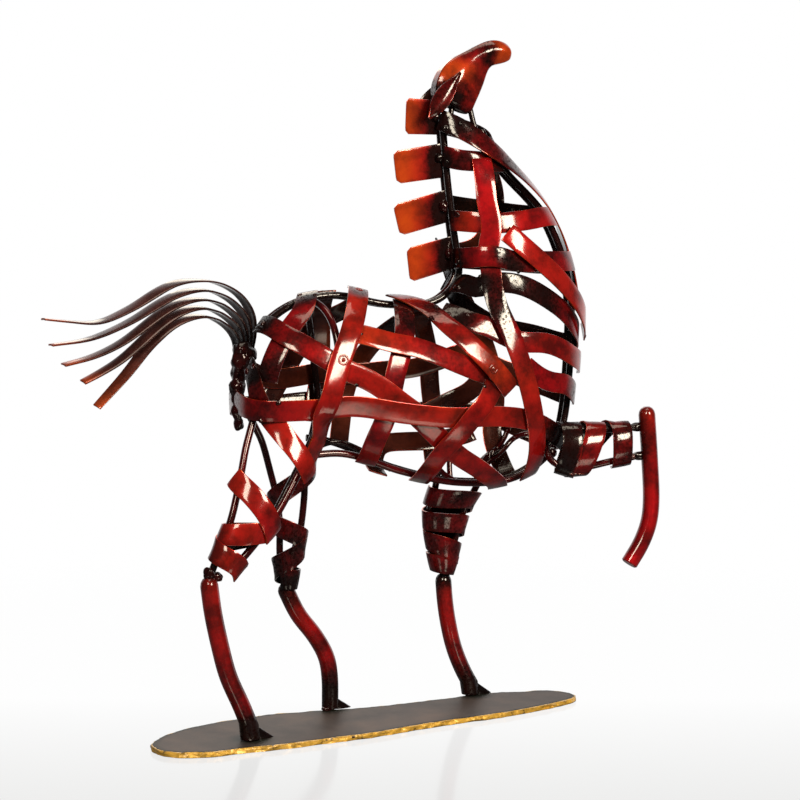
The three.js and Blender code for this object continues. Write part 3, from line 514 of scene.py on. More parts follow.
# Straps of trunk and neck: (form, places) runs, then soot and ember along them.
STRAPS = {
    "belt_strap": ([(BODY, [(8.1, -176, 1), (7.8, -140, 1), (7.3, -117, 1), (6.4, -104, 1),
        (5.1, -104, 1), (4, -108, 1), (2.7, -106, 1.4), (1.5, -103, 1.45), (.6, -98, 1.1),
        (0, -90, 1), (-.6, -82, 1), (-1.5, -77, 1), (-2.7, -74, 1), (-4, -72, 1), (-5.1, -76, 1),
        (-6.4, -76, 1), (-7.3, -63, 1), (-7.8, -40, 1), (-8.1, -5, 1)])],
        [(0, .8), (.06, .7), (.1, .3), (.15, .12), (.38, .12), (.42, .4), (.45, .3), (.5, .6),
         (1, .5)],
        [(0, 0), (.2, .2), (.35, .15), (.45, 0)]),
    "flank_strap_right": ([(BODY, [(4.45, 2, 1), (4.25, -30, 1.6), (4, -59, 2), (3.67, -83, 2.3),
        (3.5, -100, 3.4), (3.35, -110, 3.5)]), (THIGH_RIGHT, [(.8, -36, 1), (1.2, -31, -.2),
        (1.6, -24, -.6)])],
        [(0, .55), (.12, .35), (.25, .2), (.5, .1), (.8, .15), (1, .3)],
        [(0, 0), (.2, .2), (.5, .1), (1, .1)]),
    "loin_strap_right": ([(BODY, [(2.2, -12, .4), (2.45, -36, 1), (2.7, -52, 1), (3.5, -77, 1),
        (3.92, -86, .5), (4.4, -92), (4.75, -98), (5.15, -106)])],
        [(0, .75), (.2, .55), (.42, .45), (.5, .2), (.7, .15), (1, .3)],
        [(0, 0), (.6, .1), (1, .2)]),
    "hip_strap_right": ([(BODY, [(3.45, -4), (3.16, -33), (2.82, -44), (2.48, -55, -.4),
        (2.1, -74, -1.3), (2.06, -79, -1.8)])],
        [(0, .5), (.3, .4), (.55, .55), (.8, .6), (1, .75)], COLD),
    "haunch_strap_right": ([(BODY, [(1.35, -40), (1.65, -89, -.2), (2, -106, -.5)]),
        (THIGH_RIGHT, [(1, -80, .2), (1.45, -52, 1.4), (1.85, -22, 1.7)])],
        [(0, .95), (.2, .6), (.35, .75), (.5, .25), (.7, .12), (1, .15)],
        [(0, 0), (.6, .15), (1, .1)]),
    "rib_strap_right": ([(BODY, [(4.1, -60), (4.6, -62, 1), (5.04, -62, 1), (5.56, -67, 1),
        (6.1, -75, .4), (6.4, -80), (6.8, -86)])],
        [(0, .1), (.2, .15), (.42, .4), (.55, .5), (.7, .35), (1, .4)],
        [(0, .5), (.2, .3), (.45, .05), (1, .1)]),
    "back_sash_right": ([(BODY, [(5.02, -4, 1), (5.53, -27, 1), (5.81, -46, 1.6), (6.15, -60, 2),
        (6.55, -76, 2), (6.81, -88, 1.9), (6.95, -95, 1.2)])],
        [(0, .75), (.1, .35), (.3, .4), (.5, .35), (.75, .15), (.9, .12), (1, .3)],
        [(0, 0), (.6, .15), (.85, .45), (1, .2)]),
    "withers_strap_right": ([(BODY, [(5.9, -30), (6.5, -50, .4), (7.2, -65), (8.3, -93, .6),
        (8.64, -111, 1), (8.9, -150, 1), (8.95, -176, 1)])],
        [(0, .9), (.25, .5), (.45, .35), (.58, .2), (.7, .3), (.85, .2), (1, .6)],
        [(0, 0), (.7, .1), (.85, .25), (1, 0)]),
    "girth_strap_right": ([(BODY, [(6.6, -88, .4), (6.2, -97, 2.3), (6, -101, 2.5),
        (5.72, -112, 2.3), (5.46, -126, 1.6), (5.3, -150, .4), (5.27, -168)])],
        [(0, .2), (.3, .25), (.5, .2), (.8, .25), (1, .3)], [(0, .1), (.5, .1), (1, 0)]),
    "belly_strap_right": ([(BODY, [(5, -104, -.4), (5.23, -111), (5.71, -127), (6.17, -141),
        (6.5, -158), (6.57, -169)])],
        [(0, .4), (.2, .2), (.6, .25), (1, .25)], [(0, 0), (.4, .1), (1, 0)]),
    "rib_upright_right": ([(BODY, [(5.22, -12), (4.95, -57, -.4), (4.75, -79, -1), (4.64, -96, -1),
        (4.54, -113, -.4), (4.42, -131), (4.37, -160)])],
        [(0, .9), (.2, .7), (.35, .5), (.5, .35), (.65, .25), (.85, .2), (1, .3)], COLD),
    "breast_strap_right": ([(BODY, [(7.75, -93), (8.1, -110), (8.45, -132), (8.6, -172)])],
        [(0, .4), (.5, .45), (1, .6)], COLD),
    "shoulder_strap_right": ([(BODY, [(11.9, -86, -.2), (11.4, -72, .6), (10.75, -62, 1),
        (10.05, -60, 1), (9.32, -54, .8), (8.7, -55, 1), (8.26, -56, 1), (7.89, -62, 1.2),
        (7.66, -77, 2), (7.5, -91, 2.2), (7.35, -111, 2.3), (7.25, -130, 2), (7.15, -152, .4),
        (7.11, -166)])],
        [(0, .3), (.06, .1), (.22, .14), (.3, .12), (.35, .75), (.42, .9), (.5, .6), (.56, .3),
         (.62, .15), (.85, .2), (.92, .3), (1, .45)],
        [(0, 0), (.5, 0), (.66, .2), (.8, .1), (1, 0)]),
    "collar_strap_right": ([(BODY, [(12.85, -30, 1), (12.7, -55, 1), (12.49, -80, 1),
        (12.09, -116, 1), (11.7, -145, 1, 8), (11.3, -165, .8, 14), (10.6, -176, .3, 8),
        (9.8, -180)])],
        [(0, .6), (.2, .65), (.38, .5), (.5, .25), (.75, .35), (1, .5)], COLD),
    "collar_strap_left": ([(BODY, [(12.85, 30), (12.8, 90), (12.6, 150), (12.4, 190),
        (12.2, 222)])],
        [(0, .85), (1, .8)], COLD),
    "throat_strap": ([(BODY, [(11.85, -20), (11.77, -50, -.6), (11.85, -90, -1),
        (11.9, -125, -.6)])],
        [(0, .3), (.3, .5), (1, .7)], COLD),
    "neck_band_upper": ([(BODY, [(9.7, -14), (9.8, -30), (10.15, -62), (10.5, -89), (10.83, -125),
        (10.95, -160), (11, -200), (10.95, -235), (10.85, -270), (10.6, -315), (10.4, -344)])],
        [(0, .5), (.04, .12), (.1, .1), (.155, .65), (.2, .45), (.26, .2), (.42, .15), (.5, .3),
         (.6, .75), (1, .8)],
        [(0, .1), (.05, .35), (.12, .1), (.3, .05), (1, 0)]),
    "neck_band_middle": ([(BODY, [(8, -14, 1), (8.3, -25, 1.8), (9.2, -58, 2.4), (9.45, -76, 1),
        (9.6, -85, .6), (9.9, -105, .6), (10.2, -141, .6), (10.3, -176, .6), (10.2, -215, .6),
        (9.85, -265), (9, -315), (8.4, -345)])],
        [(0, .8), (.06, .35), (.14, .35), (.2, .6), (.3, .5), (.4, .35), (.55, .5), (1, .7)], COLD),
    "neck_band_lower": ([(BODY, [(6.6, -12), (7.4, -38), (8.35, -53), (9.05, -80), (9.3, -113),
        (9.3, -150), (9.2, -190), (9, -235, -.6), (8.3, -285, -1), (7.5, -320, -.6), (6.8, -346)])],
        [(0, .95), (.25, .9), (.36, .6), (.45, .4), (.6, .6), (1, .8)], COLD),
    "neck_sash_right": ([(BODY, [(10.04, -72, 1.9), (9.9, -82, 2.35), (9.78, -99, 2.1),
        (9.68, -119, 2), (9.55, -145, 2), (9.35, -176, 2)])],
        [(0, .15), (.3, .25), (.7, .2), (1, .15)], [(0, .1), (.72, .15), (.9, .75), (1, .8)]),
    "rib_upright_left": ([(BODY, [(5.6, 12), (6, 45), (6.16, 66), (6.12, 88), (6.08, 103),
        (5.95, 120), (5.85, 142)])],
        [(0, .7), (.3, .25), (.7, .2), (1, .4)], COLD),
    "side_strap_left": ([(BODY, [(2, 66, -.4), (2.8, 86, -1), (3.55, 90, -1.1), (4.43, 86, -1.1),
        (5.2, 78, -1), (6.4, 74, -1.1), (7.3, 80, -1.2), (8.1, 104, -.6), (8.5, 140), (8.6, 172)])],
        [(0, .5), (.2, .2), (.5, .3), (.8, .2), (1, .6)], [(0, 0), (.4, .2), (1, 0)]),
    "flank_strap_left": ([(BODY, [(3.95, 12), (4, 41), (4.08, 73), (4.03, 95), (3.95, 108),
        (3.9, 124)])],
        [(0, .6), (.3, .3), (.7, .15), (1, .3)], [(0, 0), (.5, .2), (1, 0)]),
    "loin_strap_left": ([(BODY, [(2.7, 112), (3.1, 95), (3.5, 77, .4), (3.9, 58, 1), (4.43, 39, 1),
        (4.7, 14, .4)])],
        [(0, .3), (.5, .2), (1, .7)], COLD),
    "rib_slant_left": ([(BODY, [(5.48, 40), (4.96, 63), (4.64, 85), (4.5, 100), (4.4, 118),
        (4.25, 142)])],
        [(0, .6), (.4, .2), (1, .3)], [(0, 0), (.5, .25), (1, 0)]),
    "shoulder_strap_left": ([(BODY, [(8.6, 16, 1.4), (8.38, 50, 1), (8.19, 72, .4), (8.05, 90),
        (7.6, 110), (7.15, 125), (7, 150), (6.95, 172)])],
        [(0, .8), (.3, .4), (.6, .15), (1, .5)], [(0, 0), (.5, .2), (1, 0)]),
    "girth_strap_left": ([(BODY, [(5.75, 107, -1), (6.1, 102, -1), (6.49, 99, -1), (7.1, 98, -.8),
        (7.5, 96, -.8)])],
        [(0, .3), (1, .4)], COLD),
    "belly_strap_left": ([(BODY, [(4.75, 172), (4.8, 150), (5, 132, -.6), (5.5, 125, -1),
        (6.2, 122, -1), (6.75, 120, -1)])],
        [(0, .5), (.5, .2), (1, .3)], [(0, 0), (.5, .1), (1, 0)]),
    "neck_sash_left": ([(BODY, [(11.9, 130), (11.3, 112, 1), (10.7, 98, 1), (10, 80, 1),
        (9.4, 58, 1.6), (8.9, 34, 2.4), (8.75, 18, 2.4)])],
        [(0, .6), (.4, .25), (.7, .3), (1, .8)], [(0, 0), (.5, .1), (1, 0)]),
}

# Leg wraps: the form, then each winding's places, soot and ember.
WRAPS = {
    "wraps_hind_right": (THIGH_RIGHT, [
        ([(1.75, -168, .4), (2.1, -130, .8), (2.7, -90, 1), (3.3, -50, .6), (3.7, -15, .5)],
         [(0, .25), (.4, .12), (1, .3)], [(0, .2), (1, 0)]),
        ([(3.5, 12), (3.5, -60), (3.5, -120), (3.5, -180), (3.55, -240), (3.6, -300), (3.6, -345)],
         [(0, .45), (.25, .1), (.5, .12), (1, .6)], [(0, 0), (.3, .15), (1, 0)]),
        ([(3.7, -300), (3.85, -240), (4, -180), (4.3, -120), (4.6, -60), (4.85, -6)], [(0, .6),
         (.5, .15), (.8, .12), (1, .2)], [(0, 0), (.7, .15), (1, .1)])]),
    "wraps_hind_left": (THIGH_LEFT, [
        ([(1.5, 10, .4), (1.9, -40, .4), (2.3, -90, .4), (2.8, -150, .4), (3.1, -185, .2),
         (3.4, -230)], [(0, .65), (1, .7)], COLD),
        ([(3.5, -230), (3.7, -180), (3.9, -130), (4.2, -70), (4.5, 0), (4.6, 60)], [(0, .7),
         (.6, .65), (1, .6)], COLD),
        ([(4.4, 60), (4.5, 0), (4.8, -60), (5.2, -120), (5.5, -180), (5.8, -250), (5.85, -330),
         (5.9, -420), (5.95, -500)], [(0, .6), (.4, .65), (1, .65)], COLD)]),
    "wraps_fore_left": (FOREARM_LEFT, [
        ([(1.3, -200), (1.4, -130), (1.5, -50), (1.8, 30), (2.2, 100), (2.5, 170), (2.6, 240),
         (2.7, 310), (3, 390), (3.4, 460), (3.6, 520), (3.9, 600), (4.3, 670), (4.7, 750), (5, 820),
         (5.1, 900), (5.15, 980), (5.2, 1050)], [(0, .45), (.15, .6), (.3, .5), (.5, .65),
         (.75, .6), (1, .5)], COLD)]),
    "wraps_fore_right": (FOREARM_RIGHT, [
        ([(.75, 20), (.75, -30), (.78, -90), (.7, -150), (.9, -190), (1.4, -270), (2, -340),
         (2.05, -390), (1.7, -450), (1.4, -510), (1.4, -560)], [(0, .85), (.2, .9), (.4, .75),
         (.55, .3), (.75, .35), (1, .6)], [(0, 0), (.6, .1), (1, 0)]),
        ([(1.4, -510), (1.5, -560), (2.3, -630), (3.1, -700), (3.2, -750), (3.2, -810), (3.3, -870),
         (3.4, -915)], [(0, .7), (.3, .45), (.6, .55), (1, .6)], [(0, 0), (.5, .1), (1, 0)])]),
}

# Rods: (form, places) runs, and how sooty each is. Crest and throat have a pair side by side.
ROD_STEP, BAR_STEP = 3 * MM, 2.5 * MM
PAIR = 3.4                # a paired rod's distance from the middle
INSIDE = .25              # layer of the leg rods, inside the wraps
CREST = (2.25, 3, 4, 5, 5.7, 6.3, 7, 8, 9, 10, 11, 12, 12.9)
THROAT = (8.2, 8.6, 9, 10, 11, 12, 12.75)


def beside_middle(u):
    k = min(int(u * FINE), len(BODY.half) - 1)
    return math.degrees(math.asin(min(1, PAIR / BODY.half[k])))


def inside(*places):
    return [(u, turn, INSIDE) for u, turn in places]


RODS = {
    "back_rod_right": ([(BODY, [(u, -beside_middle(u)) for u in CREST])], .95),
    "back_rod_left": ([(BODY, [(u, beside_middle(u)) for u in CREST])], .6),
    "neck_rod_right": ([(BODY, [(u, beside_middle(u) - 180) for u in THROAT])], .8),
    "neck_rod_left": ([(BODY, [(u, 180 - beside_middle(u)) for u in THROAT])], .85),
    "belly_rod_right": ([(BODY, [(3.5, -158), (4.3, -160), (5, -165), (6, -170), (7, -172),
        (8.12, -173)])], .1),
    "belly_rod_left": ([(BODY, [(3.6, 140), (4.3, 148), (5, 160), (6, 168), (7, 172),
        (8.12, 173)])], .75),
    "thigh_front_rods_right": ([(BODY, [(3.45, -13), (3.7, -45), (3.75, -80), (3.6, -98)]),
        (THIGH_RIGHT, inside((1, -10), (2, -5), (3, -4), (4, -4), (4.9, -4)))], .25),
    "thigh_front_rod_inner": ([(BODY, [(3.68, -96)]), (THIGH_RIGHT, inside((1, 20), (2, 28),
        (3, 30), (3.9, 10), (4.6, -2)))], .9),
    "thigh_rear_rod_right": ([(BODY, [(1, -55, .2), (1.15, -88, .7)]),
        (THIGH_RIGHT, inside((1.1, -172), (2, -175), (3, -180), (4, -180), (4.9, -186)))], .4),
    "thigh_front_rod_left": ([(BODY, [(3.45, 13), (3.75, 50, .2), (3.9, 90, .8), (3.95, 112, .5)]),
        (THIGH_LEFT, inside((1, 8), (2, 4), (3, 0), (4, 0), (5, 0), (5.9, 4)))], .75),
    "thigh_rear_rod_left": ([(BODY, [(1, 55), (1.1, 88)]), (THIGH_LEFT, inside((1, 175), (2, 180),
        (3, 180), (4, 180), (5, 178), (5.9, 172)))], .6),
    "forearm_front_rod_left": ([(FOREARM_LEFT, inside((0, 0), (1, 0), (2, 0), (3, 0), (4, 0),
        (5, 2), (5.9, 6)))], .6),
    "forearm_rear_rod_left": ([(FOREARM_LEFT, inside((0, 180), (1, 180), (2, 180), (3, 180),
        (4, 180), (5, 178), (5.9, 174)))], .6),
    "forearm_upper_rod_right": ([(FOREARM_RIGHT, inside((.25, 0), (1, 0), (2, 0), (3, 0),
        (3.9, 0)))], .95),
    "forearm_lower_rod_right": ([("plain", [(85, -15, 163), (82, -17, 155), (82, -23, 147)]),
        (FOREARM_RIGHT, inside((.6, -180), (1.2, -180), (2, -180), (3, -180), (3.9, -180)))], .1),
}

# Small braces inside the cage, between one rod and the next.
BRACES = {
    "shoulder_brace_rise": ([(77, 20, 172), (76, 20, 166), (74, 20, 160), (70, 20, 153),
        (64, 20, 149), (56, 17, 144), (50, 12, 140)], .05),
    "shoulder_brace_fork": ([(88, 12, 160), (83, 14, 160), (77, 18, 157), (70, 16, 150),
        (63, 14, 146), (55, 11, 141), (48, 9, 138)], .05),
    "belly_strut": ([(34, 10, 148), (33, 8, 141), (33, 6, 135)], .3),
    "belly_strut_slant": ([(22, 4, 146), (27, 4, 139), (36, 4, 134)], .4),
    "poll_brace_front": ([(45, -2, 334), (43.4, -1, 340), (42, 0, 348), (40, 0, 354)], .9),
    "poll_brace_rear": ([(29, -1, 334), (30, -1, 341), (31, 0, 349), (33, 0, 356)], .9),
    "groin_brace": ([(-48, 22, 152), (-34, 16, 158), (-20, 10, 153), (-4, 4, 142)], .7),
}

# Lower-leg bars: points from the domed top to the foot, and soot down the bar.
FOOT, FOOT_BURR = 3.4, .2             # height a bar's last rows are drawn down to, and their burr
RAISED = "hoof_bar_fore_right"
BARS = {
    "hoof_bar_hind_right": ([(-118, -30, 87), (-116, -30, 72), (-112, -30, 53), (-108, -30, 38),
        (-101, -30, 22), (-95, -30, 7)], [(0, 0), (.5, .1), (.8, .4), (1, .95)]),
    "hoof_bar_hind_left": ([(-60, 25, 73), (-53, 25, 59), (-43, 25, 46), (-36, 25, 33),
        (-34, 25, 20), (-34, 25, 7)], [(0, .35), (.4, .25), (.8, .6), (1, .95)]),
    "hoof_bar_fore_left": ([(38, 30, 73), (39, 30, 61), (41, 30, 48), (45, 31, 33), (51, 32, 19),
        (58, 33, 7)], [(0, .5), (.4, .3), (.75, .6), (1, .95)]),
    "hoof_bar_fore_right": ([(136, -38, 173), (138, -38, 147), (138.6, -39, 124), (136.8, -40, 112),
        (132, -40, 100), (124, -40, 88)], [(0, .1), (.15, .35), (.3, .3), (.4, .1), (1, .05)]),
}

# Where the three standing feet meet the plate.
FEET = [points[-1][:2] for name, (points, _soot) in BARS.items() if name != RAISED]

# Mane tabs: four corners (x, z), two on the crest and two at the outer edge.
MANE = {
    "mane_plate_1": [(20, 350), (21.7, 331), (3, 331), (3, 351)],
    "mane_plate_2": [(22.3, 326), (24.2, 307), (-2, 303), (-5, 321)],
    "mane_plate_3": [(25, 300), (27.4, 282), (0, 274), (-5, 291)],
    "mane_plate_4": [(28.6, 274), (31.4, 256), (6, 248), (3, 267)],
}

# How far to the left a tab's outer edge swings, and its top edge leans (so to the right).
MANE_SWING, MANE_LEAN = 3.0, -2.2
MANE_THICK = 1.2 * MM

# Tail ribbons in one upright plane swung to the right: (distance behind the root, height).
TAIL_ROOT, TAIL_SWING, TAIL_STEP = -91, 20, 2.2 * MM
TAIL_TAPER = [(0, 1), (.55, .9), (.8, .75), (1, .6)]
# How far each ribbon's face has turned to the right two thirds along it, and at its tip.
TAIL_TURNS = [(.4, .05), (.35, .12), (.4, .25), (.45, .45), (.45, .65)]
TAIL = [
    [(-4.5, 209), (-6.5, 219), (-5.5, 230), (2, 240), (14, 246), (26, 248), (44, 246), (72, 232),
     (90, 225.5), (108, 226), (121, 227)],
    [(-2.5, 209), (-4, 218), (-1.5, 228), (6, 236), (16, 241), (27, 243), (43, 240), (73, 225),
     (95, 217), (117, 214)],
    [(-.5, 209), (-1.5, 217), (2, 226), (9.5, 232.5), (18, 236.5), (29, 238), (45, 234), (76, 215),
     (93, 208), (110, 204)],
    [(1.5, 209), (1, 216), (4.5, 223), (11.5, 228.5), (19.5, 232), (29, 233.5), (45, 229),
     (76, 206.5), (89, 199.5), (99, 195)],
    [(3.5, 209), (4, 215), (7.5, 220.5), (13.5, 225), (20.5, 228), (29, 229), (44, 225), (59, 214),
     (73, 199), (91, 182)],
]

# Head sections from poll to muzzle: bridge (x, z, half width), jaw (x, z, half width), cheek.
HEAD = [
    ((20, 350, 3.4), (41, 341.5, 2.6), 6),
    ((19.5, 356, 4.2), (43, 347, 3.2), 7.8),
    ((20.5, 362, 4.4), (45.5, 352.5, 3.4), 8.4),
    ((24, 369, 4.4), (48.8, 359.5, 3.4), 8.2),
    ((30, 374.5, 4.2), (50.5, 364.5, 3.2), 7.4),
    ((39, 378.8, 3.8), (52, 368.5, 3), 6.4),
    ((46, 382.8, 3.4), (54, 371, 2.8), 5.6),
    ((52, 385.5, 3.1), (56.5, 372.2, 2.8), 5.8),
    ((58, 386.2, 2.8), (61, 373, 2.6), 6.2),
    ((63.5, 384.6, 2.3), (65, 374.5, 2.2), 5.6),
    ((66.8, 381.8, 1.6), (67.3, 376.8, 1.6), 3.6),
]

# Spray on the head: (x, z, reach, soot, ember).
HEAD_TONES = [
    (66, 379, 6, .05, 1.8), (61, 375, 4, .15, 1.5), (60, 386, 4, .3, 1), (52, 377, 5, .75, .1),
    (46, 380, 6, .5, 0), (36, 377, 6, .35, 0), (27, 368, 7, .15, 1.2), (37, 366, 6, .15, .9),
    (21, 357, 5, .7, .3), (21, 351, 5, .95, 0), (46, 364, 6, .5, .1), (36, 358, 6, .85, .1),
    (46, 356, 6, .45, .3), (42, 348, 6, .6, .1), (31, 347, 6, .9, 0),
]

# Points of a head section that lie on a fold, and how sharp it is: bridge edges, jaw edges.
HEAD_FOLDS = {1: .75, 11: .75, 5: .5, 7: .5}

# Weld beads: (strap, share of its length, place across -1 to 1, radius factor, crater or not).
BEADS = [
    ("flank_strap_right", .1, -.1, 1.2, True), ("flank_strap_right", .5, -.2, 1.5, True),
    ("back_sash_right", .82, .1, 1.3, True), ("shoulder_strap_right", .27, -.7, 1.2, False),
    ("shoulder_strap_right", .285, -1, .9, False), ("collar_strap_right", .04, .6, 1.3, False),
    ("collar_strap_right", .08, -.4, .8, False), ("neck_band_upper", .03, -.6, 1, False),
    ("withers_strap_right", .05, .4, 1, False), ("withers_strap_right", .12, -.5, .8, False),
    ("back_sash_right", .3, -.8, .8, False), ("back_sash_right", .34, .8, 1, False),
    ("haunch_strap_right", .04, .5, 1.2, False), ("haunch_strap_right", .08, -.6, 1, False),
    ("loin_strap_right", .04, 0, 1.1, False), ("hip_strap_right", .06, .7, 1, False),
    ("hip_strap_right", .1, -.8, .9, False), ("neck_band_lower", .02, .5, 1.2, False),
    ("neck_band_lower", .1, -.9, .8, False), ("neck_band_middle", .03, .3, 1.2, False),
    ("neck_band_middle", .22, 1, .6, False), ("neck_sash_right", .97, .7, .7, False),
    ("belt_strap", .03, .3, 1.3, False), ("belt_strap", .42, .8, .8, False),
    ("belt_strap", .44, -.9, .7, False), ("girth_strap_right", .05, .9, .6, False),
    ("belly_strap_right", .03, -.6, .6, False), ("rib_upright_right", .3, .9, .7, False),
    ("rib_strap_right", .02, 0, .7, False), ("loin_strap_right", .62, .9, .6, False),
    ("breast_strap_right", .04, .5, .7, False), ("side_strap_left", .03, .5, .9, False),
    ("rib_upright_left", .03, .4, 1, False), ("flank_strap_left", .04, -.3, 1, False),
    ("loin_strap_left", .97, 0, 1, False), ("rib_slant_left", .04, 0, .9, False),
    ("shoulder_strap_left", .04, .4, 1.1, False), ("shoulder_strap_left", .5, -.6, .9, True),
    ("side_strap_left", .38, .5, 1, True), ("neck_sash_left", .96, 0, 1, False),
    ("neck_sash_left", .4, .4, .9, True), ("throat_strap", .05, .4, .8, False),
    ("collar_strap_left", .05, .2, 1, False), ("loin_strap_left", .35, .2, .9, True),
]

# Weld run down the rump under the tail, in lumps that flow together.
KNOT = [
    ((-92, -1, 211), (5.6, 5.6, 4.6)), ((-88, 0, 208), (4.6, 5.6, 5)),
    ((-93, -1, 204), (5.2, 5.6, 6.5)), ((-94, 0, 197), (4.2, 5, 6)),
    ((-95, -2, 190), (4.6, 4.4, 5)), ((-94.5, -1, 184), (3.6, 4, 5)),
    ((-95.5, -3, 177), (3.6, 3.6, 5)), ((-94.5, -2, 170), (3, 3.4, 4)),
]

# Lumps of weld away from the straps: centre and the three half sizes.
LUMPS = [
    ((21.5, -4, 318), (2.2, 2.4, 3.2)), ((24.5, -4.4, 291), (2.6, 2.6, 3.4)),
    ((27.5, -4, 264), (2, 2.2, 3)), ((19.5, -4, 341), (2, 2.2, 3)), ((24, 3.4, 316), (2, 2, 3)),
    ((26.5, 3.4, 289), (2, 2, 3)), ((30, 3.4, 263), (2, 2, 3)), ((84, -16, 160), (2.6, 3, 4)),
    ((86, -19, 151), (2.2, 2.6, 3)), ((80, -10, 172), (2.6, 3, 3)),
    ((131.5, -35.8, 165.8), (5, 2.4, 2.5)), ((132.5, -35.8, 149.2), (5.2, 2.4, 2.5)),
    ((-118, -30, 93), (3.2, 3.2, 4)), ((-114, -29, 91), (3.6, 3, 2.8)),
    ((-58, 24, 76), (3, 3, 2.4)), ((38, 29, 76), (3, 3, 2.2)), ((-93, -27, 4), (3.4, 3, 1.6)),
    ((-32, 27, 4), (3.4, 3, 1.6)), ((60, 34, 4), (3.4, 3, 1.6)), ((-97, -33, 4), (3, 2.6, 1.3)),
    ((-37, 22, 4), (3, 2.6, 1.3)), ((55, 30, 4), (3, 2.6, 1.3)),
]

# How far in millimetres a bead and a lump smoke what is near them, and how much.
BEAD_SMOKE, LUMP_SMOKE = (6.5, .3), (9.0, .4)

# The plate's rings from the underside up to the flat of the top: height, inset, roughness, and
# how dark the skin is. The first EDGE_RINGS of them take the flame-cut finish.
PLATE_THICK, PLATE_CORNERS, EDGE_RINGS = 3, 840, 5
PLATE_RINGS = [
    (0, .9, .15, 0), (.35, .15, .35, 0), (1.2, .1, .55, 0), (2.1, .25, .6, .5), (2.8, .5, .5, 1),
    (PLATE_THICK, 1.2, .35, 1), (PLATE_THICK, 2.4, .15, .75), (PLATE_THICK, 4, 0, .35),
    (PLATE_THICK, 6, 0, 0),
]

# Wedges of weld leaning on the feet: (x, y, turn in degrees), and how high their middles stand.
GUSSETS = [(-91, -29, 20), (-30, 25.5, 10), (62, 33, 15)]
GUSSET_RISE = 6.7

# The camera: where it stands in the setting-out frame, and how it is turned in degrees.
CAMERA, AZIMUTH, TILT = (-328, -900.7, 224), 20, -2.53
LENS, SENSOR = 76.5, 36
VIEW_AHEAD = (math.sin(math.radians(AZIMUTH)), math.cos(math.radians(AZIMUTH)), 0)

# Lamps: bearing from the horse in degrees, rise, distance and size in metres, power in watts.
LAMPS = [
    ("softbox_right", -72, 22, 1.5, .42, .46, 21), ("softbox_left", -122, 28, 1.6, .36, .5, 12),
    ("softbox_top", -80, 76, 1.4, .8, .5, 5), ("softbox_back", 80, 34, 1.8, .5, .8, 3),
]
LAMP_AIM = .19            # height of the lamps' aim in metres

RUNS = {}                 # filled when the straps are set out: a run for each strap
WELD_SMOKE = []           # filled with them: (place, reach, strength)


# ---- Materials --------------------------------------------------------------

# The edge finish is painted brighter than the strap: a painted highlight along every edge.
RED, EDGE, WELD = "candy_red_lacquer_on_strap_iron", "sheared_edge_with_painted_highlight", "lacquered_weld_bead"
STRAP_SKIN = (RED, "thin_brown_lacquer_with_painted_shade", EDGE)

# Real sizes of the patterns, in metres.
CLOUD, DENT = .016, .007              # clouds left by a hand-held spray gun; roll and hammer marks
SPECK = .0016                         # dry overspray, drawn coarser than its dust to show


def mapped(material, size):
    """Object coordinates scaled so that one unit of pattern is this many metres."""
    where = node(material, "ShaderNodeTexCoord")
    return node(material, "ShaderNodeMapping", {"Vector": where.outputs["Object"],
                                                "Scale": (1 / size,) * 3})


def shade(material, inputs):
    """Closes a material: one Principled shader and the output."""
    shader = node(material, "ShaderNodeBsdfPrincipled", inputs)
    node(material, "ShaderNodeOutputMaterial", {"Surface": shader})


